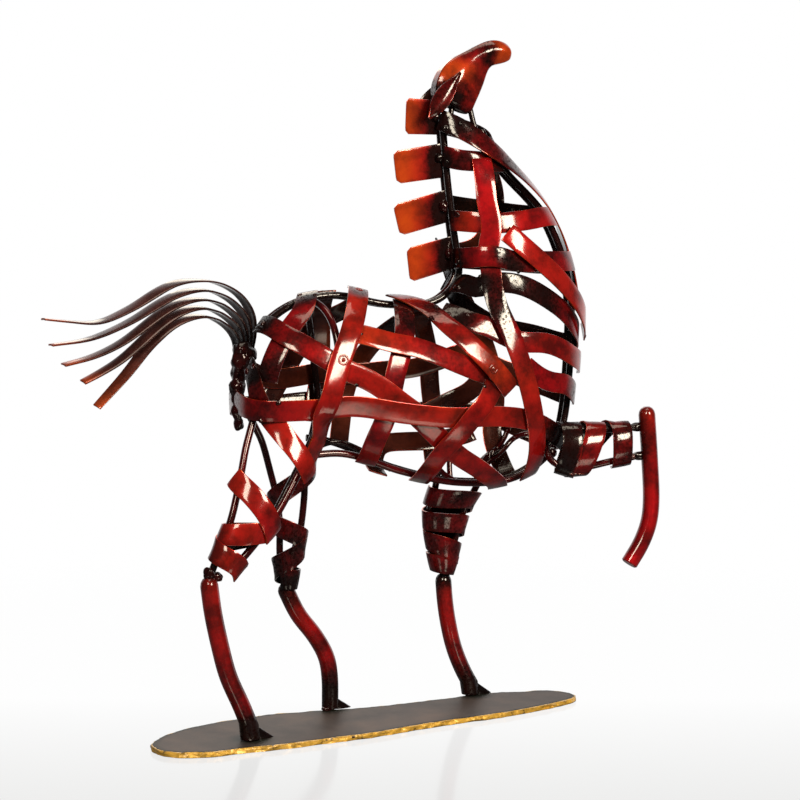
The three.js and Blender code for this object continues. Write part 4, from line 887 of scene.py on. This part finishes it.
def candy(name, light, deep, ember, soot, metallic, roughness, ripple):
    # Candy lacquer over cold-rolled strap iron, sprayed by hand: the clear coat gives one hard
    # highlight, the tint pools in clouds, and black oversprayed at joins breaks into dry specks.
    m = blank(name)
    cloud = node(m, "ShaderNodeTexNoise", {"Vector": mapped(m, CLOUD), "Scale": 1.0,
                                           "Detail": 5.0, "Roughness": .62})
    spray = node(m, "ShaderNodeTexNoise", {"Vector": mapped(m, SPECK), "Scale": 1.0,
                                           "Detail": 2.0, "Roughness": .75})
    dents = node(m, "ShaderNodeTexNoise", {"Vector": mapped(m, DENT), "Scale": 1.0,
                                           "Detail": 2.0, "Roughness": .5})
    pool = colour_ramp(node(m, "ShaderNodeValToRGB", {"Fac": cloud}), (.38, light), (.62, deep))
    glow = node(m, "ShaderNodeAttribute", attribute_name="ember").outputs["Fac"]
    flame = node(m, "ShaderNodeMath", {0: cloud, 1: -1.2, 2: 1.1}, operation="MULTIPLY_ADD")
    warmth = node(m, "ShaderNodeMath", {0: flame, 1: glow}, operation="MULTIPLY", use_clamp=True)
    warm = node(m, "ShaderNodeMix", {"Factor": warmth, "A": pool, "B": rgba(ember)},
                data_type="RGBA")
    sooted = node(m, "ShaderNodeAttribute", attribute_name="soot").outputs["Fac"]
    drift = node(m, "ShaderNodeMath", {0: cloud, 1: .5, 2: sooted}, operation="MULTIPLY_ADD")
    speck = node(m, "ShaderNodeMath", {0: spray, 1: .5, 2: drift}, operation="MULTIPLY_ADD")
    cover = node(m, "ShaderNodeMapRange", {"Value": speck, "From Min": .6, "From Max": 1.38,
                                           "To Max": .97}, interpolation_type="SMOOTHSTEP")
    base = node(m, "ShaderNodeMix", {"Factor": cover, "A": warm, "B": rgba(soot)},
                data_type="RGBA")
    grains = node(m, "ShaderNodeMapRange", {"Value": spray, "From Min": .5, "From Max": .62})
    dusted = node(m, "ShaderNodeMapRange", {"Value": drift, "From Min": .6, "From Max": .9,
                                            "To Max": .9})
    dry = node(m, "ShaderNodeMath", {0: grains, 1: dusted}, operation="MULTIPLY")
    coat = node(m, "ShaderNodeMath", {0: 1.0, 1: dry}, operation="SUBTRACT")
    wave = node(m, "ShaderNodeBump", {"Height": dents, "Strength": .18, "Distance": ripple})
    grit = node(m, "ShaderNodeBump", {"Height": spray, "Strength": .2,
                                      "Distance": ripple * .12, "Normal": wave})
    dull = node(m, "ShaderNodeMapRange", {"Value": dry, "To Min": roughness, "To Max": .6})
    shade(m, {"Base Color": base, "Metallic": metallic, "Roughness": dull,
              "Specular IOR Level": 0.0, "Coat Weight": coat, "Coat Roughness": .11,
              "Normal": grit, "Coat Normal": wave})


def finishes(colours):
    red, deep, ember, soot = colours.red, colours.deep, colours.ember, colours.soot
    candy(RED, red, deep, ember, soot, .25, .45, .0004)
    # The inner faces got one thin dry pass: browner, duller, with the iron's scale showing; their
    # colour is also darkened as painted shade, for the shadow inside the cage.
    candy("thin_brown_lacquer_with_painted_shade", colours.inner, times(colours.inner, .45), ember,
          soot, .3, .5, .0003)
    # Sheared edges take the tint thin over bright iron; their colour is painted brighter than the
    # face, a painted highlight that shows as a fine line.
    candy(EDGE, ember, times(red, 1.5), ember, soot, .75, .28, .0002)
    # Drawn rod under near-black lacquer: long unbroken highlights, a red cast where it is thin.
    candy("black_lacquer_on_drawn_rod", deep, times(deep, .35), ember, colours.rod, .3, .3, .00004)
    # Tail ribbon, smoked over a silver base: grey-brown sheen turning orange at the cut tips.
    candy("smoked_lacquer_on_tail_ribbon", times(colours.tail, 1.9), colours.tail, ember, soot,
          .5, .34, .0002)
    # Weld metal left as it froze, lacquered over: glassy lumps, black with red in the hollows.
    candy(WELD, deep, times(deep, .4), red, soot, .3, .25, .0006)
    plate_top(colours.plate)
    flame_cut(colours.flame_edge)
    floor_sheet(colours.floor)


def plate_top(skin):
    # Hot-rolled plate under a thin satin spray: dull grey-brown, greenish black round the welds.
    m = blank("satin_sprayed_plate")
    blotch = node(m, "ShaderNodeTexNoise", {"Vector": mapped(m, .03), "Scale": 1.0,
                                            "Detail": 5.0, "Roughness": .6})
    scale = node(m, "ShaderNodeTexNoise", {"Vector": mapped(m, .0009), "Scale": 1.0,
                                           "Detail": 2.0})
    warm = (skin[0] * 1.6, skin[1] * 1.45, skin[2] * 1.3)
    tone = colour_ramp(node(m, "ShaderNodeValToRGB", {"Fac": blotch}),
                       (.3, times(skin, .55)), (.5, skin), (.7, warm))
    where = node(m, "ShaderNodeTexCoord").outputs["Object"]
    darkest = node(m, "ShaderNodeAttribute", attribute_name="soot").outputs["Fac"]
    for x, y in FEET:
        gap = node(m, "ShaderNodeVectorMath", {0: where, 1: tuple(to_model((x, y, PLATE_THICK)))},
                   operation="DISTANCE")
        near = node(m, "ShaderNodeMapRange", {"Value": gap, "From Min": .004, "From Max": .02,
                                              "To Min": 1.0, "To Max": 0.0},
                    interpolation_type="SMOOTHSTEP")
        darkest = node(m, "ShaderNodeMath", {0: darkest, 1: near}, operation="MAXIMUM")
    smudge = node(m, "ShaderNodeMath", {0: darkest, 1: blotch}, operation="MULTIPLY")
    cover = node(m, "ShaderNodeMapRange", {"Value": smudge, "From Min": .1, "From Max": .5,
                                           "To Max": .92})
    base = node(m, "ShaderNodeMix", {"Factor": cover, "A": tone, "B": rgba(linear("10160f"))},
                data_type="RGBA")
    grit = node(m, "ShaderNodeBump", {"Height": scale, "Strength": .3, "Distance": .00012})
    shade(m, {"Base Color": base, "Metallic": .1, "Roughness": .55, "Specular IOR Level": .2,
              "Coat Weight": .05, "Coat Roughness": .3, "Normal": grit})


def flame_cut(gold):
    # Dross and drag lines of a hand-cut edge under bronze-gold paint, dark where it cracked off.
    m = blank("bronze_painted_flame_cut_edge")
    crust = node(m, "ShaderNodeTexNoise", {"Vector": mapped(m, .0045), "Scale": 1.0,
                                           "Detail": 5.0, "Roughness": .65})
    crack = node(m, "ShaderNodeTexVoronoi", {"Vector": mapped(m, .007), "Scale": 1.0},
                 feature="DISTANCE_TO_EDGE")
    tone = colour_ramp(node(m, "ShaderNodeValToRGB", {"Fac": crust}),
                       (.3, times(gold, .45)), (.46, gold), (.7, times(gold, 1.35)))
    chip = node(m, "ShaderNodeMath", {0: crack.outputs["Distance"], 1: crust}, operation="ADD")
    bare = node(m, "ShaderNodeMapRange", {"Value": chip, "From Min": .36, "From Max": .44,
                                          "To Min": 1.0, "To Max": 0.0})
    base = node(m, "ShaderNodeMix", {"Factor": bare, "A": tone, "B": rgba(linear("24180f"))},
                data_type="RGBA")
    lumps = node(m, "ShaderNodeBump", {"Height": chip, "Strength": .6, "Distance": .0006})
    shade(m, {"Base Color": base, "Metallic": .3, "Roughness": .42, "Coat Weight": .3,
              "Coat Roughness": .2, "Normal": lumps})


def floor_sheet(pale):
    # White acrylic sheet lit from below, polished: even white, with painted shade making it a shade
    # greyer towards the front, and a faint mirror image of what stands on it.
    m = blank("polished_white_acrylic_sheet")
    where = node(m, "ShaderNodeTexCoord").outputs["Object"]
    # painted shade: the sheet's white falls off to grey towards the front
    depth = node(m, "ShaderNodeVectorMath", {0: where, 1: VIEW_AHEAD}, operation="DOT_PRODUCT")
    front = node(m, "ShaderNodeMapRange", {"Value": depth, "From Min": -.17, "From Max": .07})
    tone = colour_ramp(node(m, "ShaderNodeValToRGB", {"Fac": front}),
                       (0, times(pale, .94)), (1, (1, 1, 1)))
    ray = node(m, "ShaderNodeLightPath").outputs["Is Camera Ray"]
    power = node(m, "ShaderNodeMapRange", {"Value": ray, "To Min": .12, "To Max": 1.02})
    lit = node(m, "ShaderNodeEmission", {"Color": tone, "Strength": power})
    shine = node(m, "ShaderNodeBsdfGlossy", {"Roughness": .12})
    mirror = node(m, "ShaderNodeMixShader", {"Fac": .13, 1: lit, 2: shine})
    gap = node(m, "ShaderNodeVectorMath", {0: where}, operation="LENGTH")
    rim = node(m, "ShaderNodeMapRange", {"Value": gap, "From Min": .35, "From Max": .85},
               interpolation_type="SMOOTHERSTEP")
    clear = node(m, "ShaderNodeBsdfTransparent")
    sheet = node(m, "ShaderNodeMixShader", {"Fac": rim, 1: mirror, 2: clear})
    node(m, "ShaderNodeOutputMaterial", {"Surface": sheet})


def marks_over(parts, height):
    """Marks along a run's parts, each over a form or through plain points."""
    marks = []
    for form, places in parts:
        marks += through((0, -1, 0), places) if form == "plain" else on(form, height, places)
    return marks


def weld_at(name, share, across):
    """Where a weld sits on a strap, and the ways across, along and out of the strap there."""
    run = RUNS[name]
    k = round(share * run.count)
    spot = run.points[k] + run.across[k] * across * bpy.context.scene.horse_sizes.strap_width / 2
    return spot, (run.across[k], run.tangents[k], run.outs[k])


def stand_for(piece, node_name):
    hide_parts(node_name)


# ---- The pieces, one operator each ------------------------------------------

class HORSE_OT_finishes(bpy.types.Operator):
    """Make every lacquer, plate and weld finish"""
    bl_idname = "horse.finishes"
    bl_label = "Finishes"

    def execute(self, context):
        finishes(context.scene.horse_colours)
        return {"FINISHED"}


class HORSE_OT_setting_out(bpy.types.Operator):
    """Lay out every strap's run and the soot round its welds"""
    bl_idname = "horse.setting_out"
    bl_label = "Setting out"

    def execute(self, context):
        for name, (parts, _soot, _glow) in STRAPS.items():
            RUNS[name] = Run(marks_over(parts, strap_height), context.scene.horse_sizes.strap_step)
        WELD_SMOKE.clear()
        reach, strength = BEAD_SMOKE
        for name, share, across, size, _crater in BEADS:
            spot, _axes = weld_at(name, share, across)
            WELD_SMOKE.append((tuple(set_out(spot)), reach * size, strength))
        WELD_SMOKE.extend((place, *LUMP_SMOKE) for place, _half in LUMPS)
        return {"FINISHED"}


class HORSE_OT_straps(bpy.types.Operator):
    """Lay the straps of trunk and neck"""
    bl_idname = "horse.straps"
    bl_label = "Trunk and neck straps"

    def execute(self, context):
        sizes = context.scene.horse_sizes
        for name, (_parts, soot, glow) in STRAPS.items():
            run = RUNS[name]
            piece = strap_mesh(run, sizes.strap_width, sizes.strap_thick)
            finish_piece(piece, f"{name}_lacquered", STRAP_SKIN)
            paint(piece, along_run(piece, run), soot, glow)
            stand_for(piece, name)
        return {"FINISHED"}


class HORSE_OT_wraps(bpy.types.Operator):
    """Wind the straps round the upper legs"""
    bl_idname = "horse.wraps"
    bl_label = "Leg wraps"

    def execute(self, context):
        sizes = context.scene.horse_sizes
        for name, (form, windings) in WRAPS.items():
            pieces = []
            for places, soot, glow in windings:
                run = Run(on(form, strap_height, places), sizes.strap_step)
                piece = strap_mesh(run, sizes.strap_width, sizes.strap_thick)
                finish_piece(piece, "winding", STRAP_SKIN)
                paint(piece, along_run(piece, run), soot, glow)
                pieces.append(piece)
            stand_for(joined_as(f"{name}_lacquered", pieces), name)
        return {"FINISHED"}


class HORSE_OT_rods(bpy.types.Operator):
    """Bend the round rods of the frame and their small braces"""
    bl_idname = "horse.rods"
    bl_label = "Frame rods"

    def execute(self, context):
        sizes = context.scene.horse_sizes
        for name, (parts, soot) in {**RODS, **BRACES}.items():
            brace = name in BRACES
            marks = through((0, -1, 0), parts) if brace else marks_over(parts, rod_height)
            run = Run(marks, ROD_STEP)
            piece = rod_mesh(run, sizes.wire if brace else sizes.rod)
            finish_piece(piece, f"{name}_lacquered", ("black_lacquer_on_drawn_rod",))
            paint(piece, along_run(piece, run), [(0, soot), (.5, soot - .1), (1, soot)], COLD)
            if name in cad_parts:
                stand_for(piece, name)
        return {"FINISHED"}


class HORSE_OT_bars(bpy.types.Operator):
    """Bend the four thick lower-leg bars, domed on top"""
    bl_idname = "horse.bars"
    bl_label = "Lower legs"

    def execute(self, context):
        for name, (points, soot) in BARS.items():
            run = Run(through((0, 1, 0), points), BAR_STEP)
            piece = rod_mesh(run, context.scene.horse_sizes.bar, DOME, corners=28)
            if name != RAISED:
                level = points_of(piece)
                low = FOOT * MM
                foot = level[:, 2] < (points[-1][2] + .5) * MM + low
                level[foot, 2] = np.minimum(level[foot, 2], low + FOOT_BURR * MM)
                level[:, 2] = np.maximum(level[:, 2], low)
                move_points(piece, level)
            finish_piece(piece, f"{name}_lacquered", (RED,))
            paint(piece, along_run(piece, run), soot, [(0, .15), (.3, .05), (1, 0)])
            stand_for(piece, name)
        return {"FINISHED"}


class HORSE_OT_mane(bpy.types.Operator):
    """Cut the four mane tabs"""
    bl_idname = "horse.mane"
    bl_label = "Mane tabs"

    def execute(self, context):
        for name, corners in MANE.items():
            alone()
            bpy.ops.mesh.primitive_grid_add(x_subdivisions=12, y_subdivisions=10, size=1)
            piece = bpy.context.object
            flat = points_of(piece) + 0.5
            upper, lower, outer_low, outer_high = (np.array(c, float) for c in corners)
            x, y = flat[:, 0:1], flat[:, 1:2]
            # outer corners are clipped round
            inset = np.clip(np.abs(2 * y - 1) - .78, 0, 1) * np.clip(1 - x - .86, 0, 1) * 3.2
            x = np.clip(x + inset, 0, 1)
            crest = lower * (1 - y) + upper * y
            outer = outer_low * (1 - y) + outer_high * y
            spot = outer * (1 - x) + crest * x
            bow = 0.5 * np.sin(math.pi * x[:, 0]) * (y[:, 0] - .3)
            swing = (1 - x[:, 0]) * MANE_SWING + (y[:, 0] - .5) * MANE_LEAN
            move_points(piece, to_model(np.stack([spot[:, 0], -PAIR + bow + swing, spot[:, 1]], 1)))
            leave_slots(piece, 2)
            modify(piece, "SOLIDIFY", thickness=MANE_THICK, offset=0.0, material_offset_rim=1)
            edit(bpy.ops.mesh.normals_make_consistent, inside=False)
            round_edges(piece, MANE_THICK)
            finish_piece(piece, f"{name}_lacquered", (RED, EDGE))
            reach = np.interp(set_out(points_of(piece))[:, 0],
                              [corners[2][0] - 2, corners[0][0]], [0, 1])
            paint(piece, reach, [(0, 0), (.5, .05), (.72, .35), (.88, .75), (1, .9)],
                  [(0, 1.9), (.1, 1.4), (.28, .85), (.45, .45), (.7, .05)])
            stand_for(piece, name)
        return {"FINISHED"}


class HORSE_OT_tail(bpy.types.Operator):
    """Curl the five tail ribbons from their weld"""
    bl_idname = "horse.tail"
    bl_label = "Tail"

    def execute(self, context):
        sizes = context.scene.horse_sizes
        swing = math.radians(TAIL_SWING)
        pieces = []
        for points, turned in zip(TAIL, TAIL_TURNS):
            placed = [(TAIL_ROOT - b * math.cos(swing), 1 - b * math.sin(swing), z)
                      for b, z in points]
            marks = through((0, 0, 1), placed)
            turns = np.interp(np.linspace(0, 1, len(marks)), [0, .4, .65, 1], [0, 0, *turned])
            marks = [(point, np.array((.3 - .2 * turn, .1 - turn, 1)), roll)
                     for (point, _, roll), turn in zip(marks, turns)]
            run = Run(marks, TAIL_STEP)
            piece = strap_mesh(run, sizes.tail_width, sizes.strap_thick, TAIL_TAPER, crown=.3)
            finish_piece(piece, "ribbon", ("smoked_lacquer_on_tail_ribbon",) * 3)
            # the lowest ribbon is orange further back from its tip
            tip = .78 if points is TAIL[-1] else .9
            paint(piece, along_run(piece, run),
                  [(0, .9), (.15, .5), (.35, .3), (.6, .4), (.85, .35), (1, .05)],
                  [(0, 0), (tip - .1, .05), (tip, .3), (1, 1.3)])
            pieces.append(piece)
        stand_for(joined_as("tail_ribbons", pieces), "tail")
        return {"FINISHED"}


class HORSE_OT_head(bpy.types.Operator):
    """Fold the head from sheet and hang its leaf ears"""
    bl_idname = "horse.head"
    bl_label = "Head and ears"

    def execute(self, context):
        piece = self.skull()
        finish_piece(piece, "head_folded_sheet", (RED,), angle=55)
        points = set_out(points_of(piece))
        weight, soot, glow = np.full(len(points), .02), .006, .004
        for x, z, reach, dark, warm in HEAD_TONES:
            near = np.exp(-((points[:, 0] - x) ** 2 + (points[:, 2] - z) ** 2) / reach ** 2)
            weight, soot, glow = weight + near, soot + near * dark, glow + near * warm
        tint(piece, soot / weight + .22 * noise_at(points, .22), glow / weight)
        stand_for(piece, "head")
        for side, name in ((-1, "ear_right"), (1, "ear_left")):
            ear = self.ear(side)
            finish_piece(ear, f"{name}_leaf", STRAP_SKIN)
            height = points_of(ear)[:, 2] / MM
            paint(ear, np.interp(height, [338, 366], [0, 1]), [(0, .45), (.6, .55), (1, .7)],
                  [(0, .1), (1, 0)])
            stand_for(ear, name)
        return {"FINISHED"}

    def skull(self):
        """One extruded ring, section by section, then subdivided with its folds kept."""
        piece = ring_shell(12, len(HEAD))
        spots = []
        for (bx, bz, bw), (jx, jz, jw), cheek in HEAD:
            # down the right side from the bridge: (share of the way to the jaw, half width)
            half = [(0, 0), (0, bw), (.2, bw + .72 * (cheek - bw)), (.45, cheek),
                    (.75, jw + .66 * (cheek - jw)), (1, jw), (1, 0)]
            ring = [(share, -wide) for share, wide in half] + half[5:0:-1]
            spots += [(bx + (jx - bx) * share, wide, bz + (jz - bz) * share)
                      for share, wide in ring]
        move_points(piece, to_model(spots))
        edit(bpy.ops.mesh.normals_make_consistent, inside=False)
        folds = piece.data.attributes.new("crease_edge", "FLOAT", "EDGE")
        for edge in piece.data.edges:
            a, b = (v % 12 for v in edge.vertices)
            folds.data[edge.index].value = HEAD_FOLDS.get(a, 0) if a == b else 0
        modify(piece, "SUBSURF", levels=3, render_levels=3)
        spots = points_of(piece)
        spots[:, 1] += noise_at(spots, 120) * .0004
        move_points(piece, spots)
        return piece

    def ear(self, side):
        """A cupped leaf from a grid, root up by the brow and tip down the cheek."""
        alone()
        bpy.ops.mesh.primitive_grid_add(x_subdivisions=22, y_subdivisions=6, size=1)
        piece = bpy.context.object
        flat = points_of(piece)
        along, across = flat[:, 0] + .5, flat[:, 1] * 2
        half = 5.2 * np.sin(math.pi * np.clip(along, .02, .985) ** 1.2) ** .8
        down = np.array((-.6, side * .12, -.79))
        wide = np.array((-.79, 0, .6))
        off = np.array((0, side, .08))
        cup = 1.1 * across ** 2 - .8 * np.sin(math.pi * along)
        spots = (np.array((32.5, side * 8.9, 365.5)) + down * (along * 34)[:, None]
                 + wide * (across * half)[:, None] + off * cup[:, None])
        move_points(piece, to_model(spots))
        if piece.data.polygons[0].normal.y * side < 0:
            edit(bpy.ops.mesh.flip_normals)
        leave_slots(piece, 3)
        modify(piece, "SOLIDIFY", thickness=MM, offset=0.0, material_offset=1,
               material_offset_rim=2)
        round_edges(piece, MM)
        return piece


class HORSE_OT_welds(bpy.types.Operator):
    """Drop the weld beads, craters and lumps where pieces meet"""
    bl_idname = "horse.welds"
    bl_label = "Welds"

    def execute(self, context):
        pieces, craters = [], []
        for name, share, across, size, crater in BEADS:
            centre, axes = weld_at(name, share, across)
            centre = centre + axes[2] * (.35 * MM)
            reach = context.scene.horse_sizes.bead * size * (.3 if crater else .62)
            half = (reach, reach * 1.15, reach * (.42 if crater else .55))
            (craters if crater else pieces).append(self.bead(centre, axes, half))
            if crater:
                craters.append(self.ring(centre, axes, reach * 2.1))
        self.burnt_rings(joined(craters))
        pieces.append(self.mass(KNOT))
        pieces += [self.lump(place, half) for place, half in LUMPS]
        piece = joined(pieces)
        finish_piece(piece, "weld_beads", (WELD,), angle=70)
        patch = noise_at(points_of(piece), 28)
        tint(piece, .72 + .6 * patch, .15 + .5 * patch)
        return {"FINISHED"}

    def burnt_rings(self, piece):
        """Rings left where a strap was plug-welded through, lacquered with the strap."""
        finish_piece(piece, "weld_craters", (RED,), angle=70)
        tint(piece, .3, .3)

    def lump(self, place, half):
        return self.bead(to_model(place), np.eye(3), tuple(h * MM for h in half))

    def mass(self, lumps):
        """Lumps of weld run together into one body."""
        piece = joined([self.lump(place, half) for place, half in lumps])
        modify(piece, "REMESH", mode="VOXEL", voxel_size=.0007)
        modify(piece, "SMOOTH", factor=.7, iterations=6)
        return piece

    def laid(self, piece, centre, axes, half, rough=.28):
        """Swells a unit shape to its half sizes along three axes and roughens it."""
        points = points_of(piece)
        start = Vector(np.array(centre)) * 900
        points = points * (1 + rough * noise_at(points, 1.6, start))[:, None]
        placed = centre + sum(points[:, i:i + 1] * half[i] * np.array(axes[i]) for i in range(3))
        move_points(piece, placed)
        edit(bpy.ops.mesh.normals_make_consistent, inside=False)
        return piece

    def bead(self, centre, axes, half):
        alone()
        bpy.ops.mesh.primitive_ico_sphere_add(subdivisions=3, radius=1)
        return self.laid(bpy.context.object, centre, axes, half)

    def ring(self, centre, axes, reach):
        alone()
        bpy.ops.mesh.primitive_torus_add(major_segments=36, minor_segments=10, major_radius=1,
                                         minor_radius=.26)
        return self.laid(bpy.context.object, centre, axes, (reach, reach, reach * .8), .04)


class HORSE_OT_base(bpy.types.Operator):
    """Cut the tapered plate with its ragged flame-cut edge"""
    bl_idname = "horse.base"
    bl_label = "Base plate"

    def execute(self, context):
        outline = self.outline(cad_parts["base_plate"], PLATE_CORNERS)
        piece = ring_shell(PLATE_CORNERS, len(PLATE_RINGS), radius=.1)
        # inward is square to a stretch long enough for the rings never to cross themselves
        ahead = np.roll(outline, -14, 0) - np.roll(outline, 14, 0)
        inward = np.stack([-ahead[:, 1], ahead[:, 0]], 1)
        inward /= np.linalg.norm(inward, axis=1, keepdims=True)
        spots = []
        for level, (height, inset, rough, _dark) in enumerate(PLATE_RINGS):
            for (x, y), (in_x, in_y) in zip(outline, inward):
                where = Vector((x * 190, y * 190, level * .8))
                bite = (noise.noise(where) * rough + noise.noise(where * 2.3) * rough * .9
                        + abs(noise.noise(where * .35)) * (1.2 + rough))
                slump = .45 if 0 < level <= EDGE_RINGS else 0
                sag = noise.noise(where * .7 + Vector((9, 0, 0))) * slump
                step = (inset + bite) * MM
                spots.append((x + in_x * step, y + in_y * step, (height + sag * .6) * MM))
        spots = np.array(spots)
        spots[:, 2] = np.clip(spots[:, 2], 0, PLATE_THICK * MM)
        move_points(piece, spots)
        bpy.ops.object.mode_set(mode="EDIT")
        bpy.ops.mesh.select_mode(type="FACE")
        bpy.ops.mesh.select_face_by_sides(number=4, type="GREATER")
        bpy.ops.mesh.poke()
        bpy.ops.mesh.select_mode(type="VERT")
        bpy.ops.object.mode_set(mode="OBJECT")
        edit(bpy.ops.mesh.normals_make_consistent, inside=False)
        finish_piece(piece, "base_plate_flame_cut",
                     ("satin_sprayed_plate", "bronze_painted_flame_cut_edge"), angle=50)
        for face in piece.data.polygons:
            rings = [v // PLATE_CORNERS for v in face.vertices]
            cut = min(rings) < EDGE_RINGS and max(rings) < len(PLATE_RINGS)
            face.material_index = int(cut)
        crust = np.zeros(len(piece.data.vertices))
        darks = [dark for _height, _inset, _rough, dark in PLATE_RINGS]
        crust[:PLATE_CORNERS * len(darks)] = np.repeat(darks, PLATE_CORNERS)
        store(piece, "soot", crust)
        stand_for(piece, "base_plate")
        self.gussets()
        return {"FINISHED"}

    def outline(self, plate, count):
        """The plate's outline, walked round its middle and spaced evenly."""
        rim = {(round(v.co.x, 6), round(v.co.y, 6)) for v in plate.data.vertices if v.co.z < 1e-4}
        rim = np.array(sorted(rim))
        middle = (rim.max(0) + rim.min(0)) / 2
        rim = rim[np.argsort(np.arctan2(rim[:, 1] - middle[1], (rim[:, 0] - middle[0]) * .3))]
        closed = np.vstack([rim, rim[:1]])
        reach = np.concatenate([[0], np.cumsum(np.linalg.norm(np.diff(closed, axis=0), axis=1))])
        at = np.linspace(0, reach[-1], count, endpoint=False)
        return np.stack([np.interp(at, reach, closed[:, i]) for i in (0, 1)], 1)

    def gussets(self):
        """Small welded fillets at the feet: a wedge of weld leaning on each bar."""
        pieces = []
        for x, y, turn in GUSSETS:
            alone()
            bpy.ops.mesh.primitive_cone_add(vertices=14, radius1=4.4 * MM, radius2=.8 * MM,
                                            depth=7.5 * MM)
            wedge = bpy.context.object
            points = points_of(wedge)
            points[:, 0] *= 1.5 + .3 * noise_at(points, 500, (x, y, 0))
            points[:, 0] -= points[:, 2] * .8
            points[:, 1] *= .62
            cos, sin = math.cos(math.radians(turn)), math.sin(math.radians(turn))
            turned = np.stack([points[:, 0] * cos - points[:, 1] * sin,
                               points[:, 0] * sin + points[:, 1] * cos, points[:, 2]], 1)
            move_points(wedge, turned + to_model((x, y, GUSSET_RISE)))
            modify(wedge, "BEVEL", width=.0006, segments=3, limit_method="ANGLE")
            pieces.append(wedge)
        piece = joined(pieces)
        finish_piece(piece, "foot_gussets", (WELD,), angle=60)
        tint(piece, .9, 0)


class HORSE_OT_stage(bpy.types.Operator):
    """Set the pale floor, the soft lights and the camera"""
    bl_idname = "horse.stage"
    bl_label = "Stage"

    def execute(self, context):
        scene = context.scene
        alone()
        bpy.ops.mesh.primitive_plane_add(size=1.8, location=(0, 0, 0))
        floor = bpy.context.object
        floor.name = floor.data.name = "studio_floor"
        floor.data.materials.append(bpy.data.materials["polished_white_acrylic_sheet"])
        self.lights(scene)
        self.surroundings(scene)
        lens = bpy.data.cameras.new("studio_camera")
        lens.sensor_width = SENSOR
        lens.lens = LENS
        lens.clip_start = .02
        camera = bpy.data.objects.new("studio_camera", lens)
        scene.collection.objects.link(camera)
        camera.location = to_model(CAMERA)
        camera.rotation_euler = (math.radians(90 + TILT), 0, math.radians(-AZIMUTH))
        scene.camera = camera
        scene.view_settings.view_transform = "Standard"
        return {"FINISHED"}

    def lights(self, scene):
        for name, bearing, rise, away, wide, tall, power in LAMPS:
            lamp = bpy.data.lights.new(name, "AREA")
            lamp.shape, lamp.size, lamp.size_y = "RECTANGLE", wide, tall
            lamp.energy = power
            lamp.color = linear("fff3dc")
            box = bpy.data.objects.new(name, lamp)
            scene.collection.objects.link(box)
            b, r = math.radians(bearing), math.radians(rise)
            toward = Vector((math.cos(r) * math.cos(b), math.cos(r) * math.sin(b), math.sin(r)))
            box.location = Vector((0, 0, LAMP_AIM)) + toward * away
            box.rotation_euler = toward.to_track_quat("Z", "Y").to_euler()

    def surroundings(self, scene):
        """White to look at; the lacquer sees a dark room with a white backdrop behind."""
        world = bpy.data.worlds.new("white_studio")
        world.use_nodes = True
        world.node_tree.nodes.clear()
        where = node(world, "ShaderNodeTexCoord").outputs["Generated"]
        back = node(world, "ShaderNodeVectorMath", {0: where, 1: VIEW_AHEAD},
                    operation="DOT_PRODUCT")
        power = node(world, "ShaderNodeMapRange", {
            "Value": back, "From Min": .25, "From Max": .7, "To Min": .05, "To Max": 1.0},
            interpolation_type="SMOOTHSTEP")
        white = (1, 1, 1, 1)
        thrown = node(world, "ShaderNodeBackground", {"Color": white, "Strength": power})
        seen = node(world, "ShaderNodeBackground", {"Color": white, "Strength": 1.0})
        ray = node(world, "ShaderNodeLightPath").outputs["Is Camera Ray"]
        mixed = node(world, "ShaderNodeMixShader", {"Fac": ray, 1: thrown, 2: seen})
        node(world, "ShaderNodeOutputWorld", {"Surface": mixed})
        scene.world = world


class HORSE_PT_panel(bpy.types.Panel):
    """Sizes, colours and the steps of the horse"""
    bl_idname = "HORSE_PT_panel"
    bl_label = "Strap iron horse"
    bl_space_type = "VIEW_3D"
    bl_region_type = "UI"
    bl_category = "Horse"

    def draw(self, context):
        for group in (context.scene.horse_sizes, context.scene.horse_colours):
            box = self.layout.box()
            for field in group.__annotations__:
                box.prop(group, field)
        for step in STEPS:
            self.layout.operator(step.bl_idname)


STEPS = (HORSE_OT_finishes, HORSE_OT_setting_out, HORSE_OT_base, HORSE_OT_bars, HORSE_OT_rods,
         HORSE_OT_straps, HORSE_OT_wraps, HORSE_OT_mane, HORSE_OT_tail, HORSE_OT_head,
         HORSE_OT_welds, HORSE_OT_stage)
CLASSES = (HorseSizes, HorseColours, *STEPS, HORSE_PT_panel)


def register():
    for made in CLASSES:
        bpy.utils.register_class(made)
    bpy.types.Scene.horse_sizes = bpy.props.PointerProperty(type=HorseSizes)
    bpy.types.Scene.horse_colours = bpy.props.PointerProperty(type=HorseColours)


def unregister():
    del bpy.types.Scene.horse_colours
    del bpy.types.Scene.horse_sizes
    for made in reversed(CLASSES):
        bpy.utils.unregister_class(made)


def main():
    register()
    for step in STEPS:
        group, action = step.bl_idname.split(".")
        getattr(getattr(bpy.ops, group), action)()


if __name__ == "__main__":
    main()
